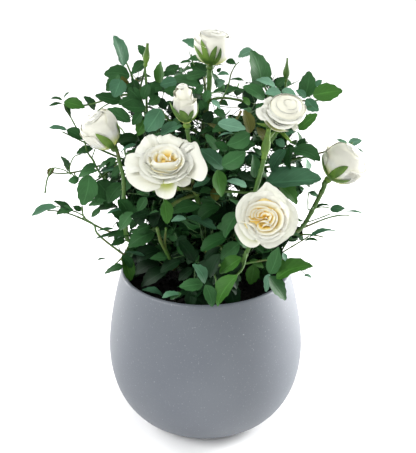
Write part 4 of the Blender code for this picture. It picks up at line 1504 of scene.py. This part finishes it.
# %% The front right flower
# Arrival angle, warmth, rim: top, right, lower right, lower left, left.
RIGHT_OUTER = (
    (84, 0.35, [
        (254, 198, 0), (257, 192, -1), (262, 187, -1), (267, 182, -1), (273, 186, -1), (281, 192, -1),
        (289, 200, -1),
    ]),
    (86, 0.35, [
        (283, 196, -2), (291, 203, -2), (297, 210, -2), (298, 219, -2), (297, 227, -2), (293, 234, -2),
        (286, 238, -2),
    ]),
    (90, 0.35, [
        (294, 231, -4), (287, 239, -4), (281, 243, -4), (274, 247, -4), (268, 248, -4), (262, 245, -4),
        (257, 240, -4),
    ]),
    # The folded petal at the lower left: its negative warmth paints the hollow olive green, as painted
    # shade.
    (76, -1.5, [
        (238, 222, 0), (235, 227, -1), (237, 234, -2), (242, 242, -2), (250, 247, -2), (257, 246, -2),
        (262, 240, -1),
    ]),
    (86, 0.35, [
        (257, 192, -2), (250, 193, -2), (243, 197, -2), (238, 204, -2), (236, 212, -2), (237, 220, -2),
        (241, 227, -2),
    ]),
)
# The white rim of the folded petal, then the heart from the outside in.
RIGHT_INNER = (
    (66, 0.6, [
        (237, 222.5, 2.5), (243, 223, 3.6), (249, 224.5, 4), (253, 227.5, 4), (256, 231.5, 3.6),
        (258, 236, 2.8), (259, 241, 1),
    ]),
    (72, 0.5, [(257, 237, 3.2), (262, 241, 3), (270, 242, 3), (278, 239.5, 3), (285, 233, 3)]),
    (72, 0.7, [
        (246, 216, 4), (247, 210, 4.2), (251, 204.5, 4.3), (258, 201.5, 4.4), (266, 201, 4.4),
        (275, 203, 4.3), (282, 208, 4),
    ]),
    (72, 0.6, [(256, 232, 4), (259, 236.5, 3.8), (265, 238.8, 3.8), (272, 238, 3.8), (280, 234, 3.8)]),
    (70, 1.2, [(278, 207, 4.4), (282.5, 212, 4.4), (284, 218.5, 4.3), (282.5, 226, 4.2), (278, 231.5, 4)]),
    (68, 1.7, [
        (248.5, 216, 4.8), (249.2, 211.5, 5), (252.5, 207.5, 5.1), (258, 205.8, 5.1), (265, 206.5, 5.1),
        (271, 209.5, 5),
    ]),
    (68, 1.2, [
        (255.5, 228, 4.8), (256.8, 231.8, 4.6), (260.5, 234.3, 4.5), (266, 235.3, 4.5), (272, 234.5, 4.5),
        (278, 230.5, 4.6),
    ]),
    (66, 1.7, [
        (272, 209, 5), (276, 212.5, 5), (277.8, 217, 5), (277.3, 221.5, 5), (275, 226, 4.8),
        (271, 229, 4.8),
    ]),
    (66, 1.7, [
        (247, 217, 4.8), (249, 219.7, 5), (252.5, 220.7, 5.2), (256.5, 220.6, 5.4), (260.5, 220.2, 5.6),
    ]),
    (66, 2.0, [
        (257, 224, 5), (257.8, 228, 5), (260.5, 230.6, 5), (265.5, 231.2, 5), (271, 230.2, 5),
        (275, 226.5, 5),
    ]),
    (64, 1.7, [(251.5, 218, 5.2), (251.3, 214, 5.3), (253, 210.8, 5.4), (257, 208.8, 5.4)]),
    (64, 2.0, [
        (269, 210, 5.2), (273, 212.5, 5.2), (275.2, 216.5, 5.2), (274.2, 221.5, 5.2), (270.5, 226, 5.2),
    ]),
    (62, 2.0, [
        (254.8, 217.6, 5.5), (254.4, 214.5, 5.6), (256, 211.5, 5.6), (259.5, 209.3, 5.6),
        (264.5, 208.8, 5.6), (269, 210, 5.5),
    ]),
    (60, 2.0, [(253.5, 216, 5.5), (256.3, 218.3, 5.6), (259.2, 219.2, 5.7), (262, 219.2, 5.8)]),
    (60, 2.0, [(257.2, 217, 5.7), (257.6, 213.5, 5.8), (260, 211, 5.8), (263.5, 210.6, 5.8)]),
    (58, 2.0, [
        (269, 212.5, 5.6), (271.3, 215, 5.6), (271.3, 218, 5.6), (269.8, 220.8, 5.6), (267.3, 223.3, 5.6),
    ]),
    (58, 1.8, [(260.3, 216.5, 5.8), (261.5, 214, 5.9), (264, 212.6, 6), (267.5, 213, 6), (270, 215.3, 5.8)]),
    (64, 1.2, [(256.5, 224.5, 5), (260, 222.4, 5.6), (264, 222, 6), (268, 223.4, 6.1), (271.5, 226, 5.6)]),
    (62, 1.4, [
        (261, 230.5, 4.8), (262.8, 227, 5.3), (266, 225.3, 5.7), (270, 226.4, 5.7), (273.5, 229.5, 5),
    ]),
    (58, 1.8, [(262.5, 220, 5.7), (265.5, 218.2, 6), (268.3, 219.8, 6), (268.6, 223, 5.8)]),
)
RIGHT_RINGS = (
    (18.4, 1.4, 40, 80, 5, 62, 0.3),
    (16.4, 2.6, 40, 72, 5, 25, 0.35),
    (14.6, 3.4, 42, 62, 5, 60, 0.4),
)
right = Bloom("bloom_front_right", seed=8)
right.petals(RIGHT_OUTER, leave=40, span=1.0, lip=0.6, ripple=0.4)
right.rings(RIGHT_RINGS, right.middle, leave=28, lip=0.25, spread=6)
right.petals(RIGHT_INNER, leave=22, span=0.3, lip=0.15, ripple=0.08)
right.dome(right.middle, radius=13.5, rise=0.8, height=2.0, warm=(1.0, 0.7), squash=(1.15, 0.95))
flower_piece(right.name, right.heap)

# %% [markdown]
# ### The half-open flower
#
# Seven petals still close over its heart, each turned further in and standing higher than the one
# outside it, so they are seen as one round cup from above. The outermost petals have begun to fold back
# at the left and below.

# %% The half-open flower
# The green wall at the left, the tall petal at the left, the folds at the left and below, the one that
# wraps the heart, and a flap at the right.
HIGH_OUTER = (
    (20, -0.9, [
        (264, 106, 2), (263, 111, 1), (263, 117, -1), (267, 124, -4), (273, 129, -6), (281, 131, -7),
        (289, 130, -7),
    ]),
    # The tall petal at the left: its warmth paints its inner face cream, as painted shade.
    (55, 0.5, [
        (263.5, 112, 3.5), (264, 105.5, 4.2), (265, 100, 4.6), (268, 97, 4.8), (272.5, 96.8, 4.9),
        (277, 98.5, 4.8),
    ]),
    (95, 0.35, [
        (264, 104, 4.4), (260, 107, 4), (256.5, 109, 3.8), (257, 114, 3.6), (260.5, 118.5, 3.4),
        (266, 120.5, 3.2),
    ]),
    (72, 0.55, [
        (262.5, 112.5, 4.6), (266.5, 118.5, 4.5), (271.5, 124, 4.4), (278, 128, 4.2),
        (285, 128.5, 4.2), (291, 126.8, 4.2), (295, 123.5, 4.2),
    ]),
    (78, 0.4, [
        (267, 109, 4.9), (270, 115, 4.9), (275.5, 119.5, 4.9), (282, 122.5, 4.9), (290, 123.5, 4.9),
        (298, 121.5, 4.9), (303, 116, 4.8),
    ]),
    (50, 0.3, [
        (267, 110, 3.6), (270, 117, 3.3), (275.5, 122, 3), (282, 125, 3), (290, 126, 3), (298, 123.5, 3),
    ]),
    (88, -0.5, [(289, 127.5, -0.5), (292, 125, 0), (296, 124, 0), (298, 127, -0.5), (294, 130.5, -1.5)]),
)
# Bearing, half angle, reach and rise of the petals that close over the heart, from the outside in.
HIGH_HEART = (
    (95, 100, 12.8, 0.5), (200, 80, 12.6, 0.6), (320, 95, 12.7, 0.6), (60, 105, 10.4, 1.6),
    (225, 100, 8.4, 2.5), (345, 95, 6.0, 3.4), (150, 100, 3.6, 4.1),
)
CUP_SPOT = (288, 107, 4.0)
high = Bloom("bloom_right_high", seed=14)
cup = on_flower(high.middle, high.axes, *CUP_SPOT)
high.petals(HIGH_OUTER, leave=45, span=1.0, lip=0.7, ripple=0.3)
# Painted shade: the heart's petals and its dome are tinted cream in their deep parts, towards the gaps
# between them.
for index, (bearing, half, reach, rise) in enumerate(HIGH_HEART):
    edge = round_edge(cup, high.axes, bearing, half, reach, rise, corner=0.07, sag=0.06)
    phase = high.random.uniform(0, 6)
    leave, arrive = 42 - 2 * index, -14 - 4 * index
    grid = petal(high.seat, high.axes, edge, leave, arrive, 0.0, 0.12, 2.0, phase, foot=0.3)
    high.heap.add(grid, depth_warmth(0.12, 0.8))
high.dome(cup, radius=12.4, rise=-0.2, height=4.3, warm=(0.15, 0.2))
flower_piece(high.name, high.heap)

# %% [markdown]
# ### Buds
#
# In a bud the petals wrap each other so closely that all of them follow one outline. That outline is a
# short list of heights and radii, the wall. Each petal covers part of it: one side is tucked under its
# neighbour, the other lies over the next, and its rim rolls out a little. Sepals are green blades that
# lie on the same wall, a little further out. Those that show have their midline by spots in the view,
# which are looked up on the wall; the others rise straight.


# %% Wraps on a wall
WRAP_ROWS, WRAP_COLUMNS = 22, 29
TUCK = 0.3
TURNS = 1.3
DIP = 0.2


def wall_of(pairs):
    """Heights and radii of a smooth outline through the pairs."""
    curve = through([(height, radius, 0.0) for height, radius in pairs], 80)
    return curve[:, 0], curve[:, 1]


def wall_point(seat, axes, wall, turn, height, off=0.0):
    """The point at a turn (in radians) and a height, off outside the wall, and its way outwards."""
    way = outwards(axes, turn)
    radius = np.interp(height, *wall) + off
    return seat + radius[..., None] * way + height[..., None] * axes[2], way


def wrap(seat, axes, wall, bearing, half, top, scale, lip, random):
    """Part of a bud's wall over bearing +- half, up to top with a round edge. Its radius is the wall's
    times scale, less tuck at one side and more at the other, and its last part rolls out by lip."""
    v = np.linspace(-1.0, 1.0, WRAP_COLUMNS)[None, :]
    t = np.linspace(0.0, 1.0, WRAP_ROWS)[:, None]
    crown = 1 - 0.12 * np.abs(v) ** 2.4 + 0.02 * np.sin(6 * v + random.uniform(0, 6))
    height = top * crown * t
    radius = np.interp(height, *wall) * scale + TUCK * v * np.minimum(1, 3 * t)
    radius = radius + lip * ((t - 0.84) / 0.16).clip(0) ** 2
    turn = np.radians(bearing + half * v * (0.75 + 0.25 * np.minimum(1, 3 * t)))
    return (seat + radius[..., None] * outwards(axes, turn) + height[..., None] * axes[2])[None]


def spiral(middle, axes, radius, rise, dome):
    """The closed tip of a bud, in one sheet: its plan is r = pitch (turn + s), where s runs across one
    wrap. Its height is rise + dome (1 - (r / radius)^2), less a dip just outside the rim before."""
    angle = np.linspace(-2 * math.pi, 2 * math.pi * (TURNS + 1), int(44 * (TURNS + 2)))[None, :]
    s = np.linspace(0.0, 1.0, 9)[:, None]
    r = radius * ((angle / (2 * math.pi) + s) / (TURNS + 1)).clip(0, 1)
    dip = -DIP * (1 - s) ** 1.5 * (angle / 3).clip(0, 1)
    up = rise + dome * (1 - (r / radius) ** 2) + dip
    grid = (middle + r[..., None] * outwards(axes, angle) + up[..., None] * axes[2])[None]
    # The cream tint, strongest in the dip, is painted shade.
    return grid, (0.15 * (1 - s) ** 1.2 + 0 * angle)[None]


# %% Sepals on a wall
SEPAL_ROWS, SEPAL_COLUMNS = 15, 5
HIP_ROWS, HIP_ROUND = 11, 16
BEHIND = 1000.0  # added to the miss of a place on the wall's far side


def on_wall(seat, axes, wall, u, v):
    """The turn and height of the place on the wall's near side that is seen closest to (u, v)."""
    turn, height = np.meshgrid(np.radians(np.arange(0, 360, 3.0)), np.linspace(-1.0, wall[0][-1], 60))
    points, way = wall_point(seat, axes, wall, turn, height)
    view = seen(points)
    near = ((EYE - points) * way).sum(axis=-1) > 0
    miss = np.hypot(view[..., 0] - u, view[..., 1] - v) + np.where(near, 0.0, BEHIND)
    best = miss.argmin()
    return turn.flat[best], height.flat[best]


def sepal(seat, axes, wall, turns, heights, width, flare, off=1.0):
    """A blade along the line of turns and heights. Its half width is 1.15 w (0.06 + t)^0.6 (1 - t)^0.75,
    laid off square to the line. It lies off the wall, and lifts away from it by flare at its tip."""
    line = through([(a, b, 0.0) for a, b in zip(np.unwrap(turns), heights)], SEPAL_ROWS)
    turn, height = line[:, 0], line[:, 1]
    radius = np.interp(height, *wall)
    run, climb = np.gradient(turn) * radius, np.gradient(height)
    steep = np.hypot(run, climb)
    t = np.linspace(0.0, 1.0, SEPAL_ROWS)
    v = np.linspace(-1, 1, SEPAL_COLUMNS)[None, :]
    half = (width * 1.15 * (0.06 + t) ** 0.6 * (1 - t).clip(0) ** 0.75)[:, None] * v
    turn = turn[:, None] + half * (climb / steep / radius)[:, None]
    height = height[:, None] - half * (run / steep)[:, None]
    lift = off + flare * t[:, None] ** 2.5 - 0.2 * off * np.abs(v)
    return wall_point(seat, axes, wall, turn, height, lift)[0][None]


def hip(seat, axes, radius, tall):
    """A small urn below the seat: r = radius (0.45 + 0.55 sin(pi s^0.8)^0.8)."""
    share = np.linspace(0.0, 1.0, HIP_ROWS)
    r = radius * (0.45 + 0.55 * np.sin(math.pi * share**0.8).clip(0) ** 0.8)
    r[-1] = 0.0
    return seat + turned(np.stack((r, tall * (share - 1) + 0.6), axis=-1), HIP_ROUND) @ axes


# %% Sizes of the buds
# Each: the wall, rows of wraps (bearing, half angle, top, scale, lip), sepals that show (width, flare,
# spots from the foot), straight sepals (bearing in degrees, length, width) and the hip's radius and
# height.
BUDS = {
    "bloom_left_bud": {
        "wall": (
            (0, 3), (2, 6.2), (5, 9), (9, 11.2), (13, 12.6),
            (17, 13.1), (21, 12.6), (24, 10.6), (26, 7.4), (27.5, 3),
        ),
        "wraps": (
            (20, 62, 25.0, 1.05, 1.5), (205, 60, 20.5, 1.02, 0.5), (285, 85, 25.6, 1.0, 0.25),
            (150, 95, 25.6, 0.985, 0.4), (70, 95, 26.2, 0.965, 0.4), (230, 90, 26.6, 0.93, 0.2),
            (350, 90, 27.0, 0.85, 0.2), (110, 90, 27.2, 0.7, 0.2),
        ),
        "shown": (
            (5.6, 0.3, [(113, 147.5), (109, 144), (105, 140.5), (101, 137.5), (95, 133)]),
            (4.0, 0.5, [(115, 147), (118.5, 141), (119.5, 134), (117.5, 128), (115, 123)]),
        ),
        "straight": ((60, 13, 6), (120, 14, 6), (190, 11, 5)),
        "hip": (2.7, 5.0),
    },
    "bloom_middle_bud": {
        "wall": (
            (0, 2.6), (3, 5.6), (7, 7.6), (11, 7.9), (15, 7.4), (19, 6.6), (23, 5.4), (26, 3.8), (28, 2),
        ),
        "wraps": (
            (330, 80, 16.0, 1.08, 0.9), (240, 80, 19.5, 1.0, 0.9), (160, 90, 22.5, 0.98, 0.8),
            (50, 85, 22.5, 0.97, 0.8), (285, 80, 26.0, 0.9, 0.7), (110, 80, 26.5, 0.82, 0.7),
            (10, 80, 26.5, 0.72, 0.6), (200, 70, 27.5, 0.55, 0.6),
        ),
        "shown": (
            (4.6, 0.4, [(186, 122), (185, 117), (183, 113), (180, 109)]),
            (3.4, 0.4, [(188, 122), (189.5, 117), (191, 113), (192, 109.5)]),
            (4.2, 1.6, [(184, 121), (178.5, 116), (174.5, 109), (170.5, 101)]),
            (4.2, 0.6, [(190, 121), (195, 116), (197.5, 110), (195.5, 103)]),
        ),
        "straight": ((110, 14, 5),),
        "hip": (2.6, 5.0),
    },
    "bloom_top": {
        "wall": (
            (0, 3.2), (2, 7.4), (5, 10.6), (9, 12.6), (13, 13.2),
            (17, 13.1), (20, 12.1), (22.5, 9.6), (24, 5),
        ),
        "wraps": (
            (190, 60, 17.5, 1.02, 0.8), (285, 100, 22.6, 1.0, 0.2), (150, 95, 22.3, 0.99, 0.3),
            (40, 95, 22.8, 0.98, 0.3), (230, 90, 23.8, 0.93, 0.2), (100, 90, 24.0, 0.8, 0.2),
            (340, 90, 24.3, 0.6, 0.2),
        ),
        "shown": (
            (4.2, 0.8, [(208, 64), (203.5, 59), (199.5, 52), (196, 44.5)]),
            (4.4, 0.6, [(209, 64), (206.5, 57), (205, 48), (202.5, 38.5)]),
            (4.0, 0.4, [(210.5, 65), (211.5, 59), (213.5, 52), (216.5, 45)]),
            (3.2, 0.4, [(213, 64.5), (217, 60), (219, 54), (220, 47)]),
        ),
        "straight": ((80, 15, 5),),
        "hip": (2.9, 5.0),
    },
    "bloom_right_bud": {
        "wall": (
            (0, 3.6), (2, 8), (5, 11.8), (9, 14.4), (13, 15.7),
            (17, 15.8), (21, 14.6), (25, 11.6), (28, 7.4), (29.5, 3),
        ),
        "wraps": (
            (155, 55, 17.0, 1.04, 1.8), (335, 60, 22.0, 1.02, 1.6), (260, 80, 26.0, 1.0, 0.25),
            (45, 95, 26.0, 0.985, 0.4), (230, 90, 28.6, 0.95, 0.3), (330, 80, 28.0, 0.93, 0.5),
            (110, 90, 29.0, 0.8, 0.3), (200, 90, 29.6, 0.6, 0.2),
        ),
        "shown": (
            (3.2, 0.5, [(329, 177.5), (325.6, 170), (323.5, 161), (324.2, 154), (325.5, 149)]),
            (6.2, 0.3, [(329, 178.5), (334, 175), (339, 171), (343, 168), (348.5, 166)]),
            (3.6, 0.5, [(330, 179.5), (337, 181), (344, 181), (350, 178.5)]),
        ),
        "straight": ((60, 17, 6), (120, 17, 6)),
        "hip": (2.9, 5.0),
    },
}

# %% Build the buds
SEPAL_DARK = screen(52, 84, 24)
SEPAL_LIGHT = screen(96, 128, 44)
TIP_SHARE = 0.07  # of a bud's height, taken up by its closed tip
sepal_finish = Finish("sepal", roughness=0.5, specular=0.35)
sepal_cloud = sepal_finish.between(sepal_finish.noise(90.0, 2.0), 0.3, 0.7)
sepal_finish.colour(sepal_finish.mix(sepal_cloud, SEPAL_DARK, SEPAL_LIGHT))
bud_random = np.random.default_rng(21)
low = np.linspace(0.0, 1.0, WRAP_ROWS)[:, None]
foot_tint = np.repeat(0.16 - 1.6 * (1 - low / 0.6).clip(0) ** 1.2, WRAP_COLUMNS, axis=1)[None]
for name, bud in BUDS.items():
    seat, axes = SEATS[name], AXES[name]
    wall = wall_of(bud["wall"])
    heap = Heap()
    for row in bud["wraps"]:
        heap.add(wrap(seat, axes, wall, *row, bud_random), foot_tint)
    top = bud["wall"][-1][0]
    tip = top * (1 - TIP_SHARE)
    heap.add(*spiral(seat, axes, float(np.interp(tip, *wall)), tip, top * TIP_SHARE))
    flower_piece(name, heap)
    green = Heap()
    green.add(hip(seat, axes, *bud["hip"]), ring=True)
    for width, flare, spots in bud["shown"]:
        places = np.array([on_wall(seat, axes, wall, u, v) for u, v in spots])
        green.add(sepal(seat, axes, wall, places[:, 0], places[:, 1], width, flare))
    for bearing, length, width in bud["straight"]:
        heights = np.linspace(-1.0, length, 4)
        green.add(sepal(seat, axes, wall, np.full(4, math.radians(bearing)), heights, width, 0.3))
    piece(name.replace("bloom", "calyx"), green, sepal_finish.material, [name])

# %% Sepals and hips of the open flowers
SEPALS = 5
OPEN_HIP = (3.4, 6.0)  # radius and height
for name in OPEN_FLOWERS:
    seat, axes = SEATS[name], AXES[name]
    green = Heap()
    green.add(hip(seat, axes, *OPEN_HIP), ring=True)
    for index in range(SEPALS):
        bearing = 20 + 360 / SEPALS * index
        edge = round_edge(seat, axes, bearing, 9, 14.0, -3.0, corner=0.75, sag=0.05, point=0.1)
        green.add(petal(seat - axes[2] * 0.8, axes, edge, 80, 105, lip=0.0, ripple=0.1, foot=0.1))
    piece(name.replace("bloom", "calyx"), green, sepal_finish.material, [name])

# %% Green buds
# The wall, the sepals' length and the flare of their tips
GREEN = {
    "green_bud_left": (((0, 1.1), (3, 2.1), (6, 2.0), (9, 1.3), (12, 0.8)), 14.5, 0.2),
    "green_bud_right": (((0, 1.1), (3, 2.2), (6, 2.0), (9, 1.1), (12, 0.6)), 15.0, 0.1),
    "green_bud_middle": (((0, 1.4), (4, 2.6), (8, 2.5), (12, 1.6), (15, 0.9)), 20.0, 0.8),
}
for name, (pairs, long, flare) in GREEN.items():
    seat, axes = SEATS[name], AXES[name]
    wall = wall_of(pairs)
    heap = Heap()
    thick = pairs[1][1]
    heap.add(hip(seat, axes, thick * 0.75, thick * 1.6), ring=True)
    body = np.stack((np.append(wall[1], 0.0), np.append(wall[0], wall[0][-1] + 0.6)), axis=-1)
    heap.add(seat + turned(body, 14) @ axes, ring=True)
    for index in range(SEPALS):
        turns = np.radians(360 / SEPALS * index + 30 + 12 * np.linspace(0, 1, 4))
        lift = flare * (1 + 0.5 * (index % 2)) - 0.3
        heap.add(sepal(seat, axes, wall, turns, np.linspace(-1.0, long, 4), thick * 2.0, lift, off=0.3))
    piece(name, heap, sepal_finish.material, [name])

# %% [markdown]
# ## Floor and light
#
# The plant stands on a plain pale floor under soft studio light. A broad sun from the left and the
# front gives the form its shade. Two very broad ones, from the front right and from above, open the
# shadows. Two area lamps at the sides, a little behind, draw bright edges down the pot. The surround is
# a white wall: it is bright near the horizon, where it is seen, and dimmer higher up, so that it fills
# the shadows without washing them out.

# %% Floor
floor_mesh = bpy.data.meshes.new("floor")
FLOOR_HALF = 6.0  # in metres
floor_points = [(x * FLOOR_HALF, y * FLOOR_HALF, 0.0) for x, y in ((-1, -1), (1, -1), (1, 1), (-1, 1))]
floor_mesh.from_pydata(floor_points, [], [(0, 1, 2, 3)])
floor = bpy.data.objects.new("floor", floor_mesh)
bpy.context.scene.collection.objects.link(floor)
floor_finish = Finish("floor", roughness=0.9, colour=(0.95, 0.95, 0.95), specular=0.1)
floor_mesh.materials.append(floor_finish.material)

# %% Lamps
# A sun's size is the angle in degrees that softens its shadows, an area lamp's its sides in metres.
LAMPS = {
    "key_left": ("SUN", (-1.25, -0.72, 1.1), 2.3, 35),
    "fill_front": ("SUN", (0.8, -1.0, 1.1), 0.8, 80),
    "fill_top": ("SUN", (0.1, 0.2, 1.5), 0.35, 80),
    "edge_right": ("AREA", (0.8, 0.36, 0.3), 17.0, (0.3, 0.5)),
    "edge_left": ("AREA", (-0.75, 0.5, 0.35), 6.5, (0.25, 0.6)),
}
LAMP_AIMS = {"SUN": (0, 0, 0.1), "AREA": (0, 0, 0.07)}
SURROUND = {"From Min": 0.06, "From Max": 0.32, "To Min": 1.0, "To Max": 0.45}  # height, then brightness

for name, (kind, place, power, size) in LAMPS.items():
    data = bpy.data.lights.new(name, kind)
    data.energy = power
    if kind == "AREA":
        data.shape = "RECTANGLE"
        data.size, data.size_y = size
    else:
        data.angle = math.radians(size)
    thing = bpy.data.objects.new(name, data)
    thing.location = place
    thing.rotation_euler = (Vector(LAMP_AIMS[kind]) - Vector(place)).to_track_quat("-Z", "Y").to_euler()
    bpy.context.scene.collection.objects.link(thing)

world = bpy.data.worlds.new("surround")
world.use_nodes = True
backdrop = world.node_tree.nodes["Background"]
backdrop.inputs["Color"].default_value = (1.0, 1.0, 1.0, 1.0)
direction = world.node_tree.nodes.new("ShaderNodeTexCoord")
parts = world.node_tree.nodes.new("ShaderNodeSeparateXYZ")
fade = world.node_tree.nodes.new("ShaderNodeMapRange")
for key, value in SURROUND.items():
    fade.inputs[key].default_value = value
world.node_tree.links.new(direction.outputs["Generated"], parts.inputs["Vector"])
world.node_tree.links.new(parts.outputs["Z"], fade.inputs["Value"])
world.node_tree.links.new(fade.outputs["Result"], backdrop.inputs["Strength"])
bpy.context.scene.world = world
bpy.context.scene.view_settings.view_transform = "Standard"
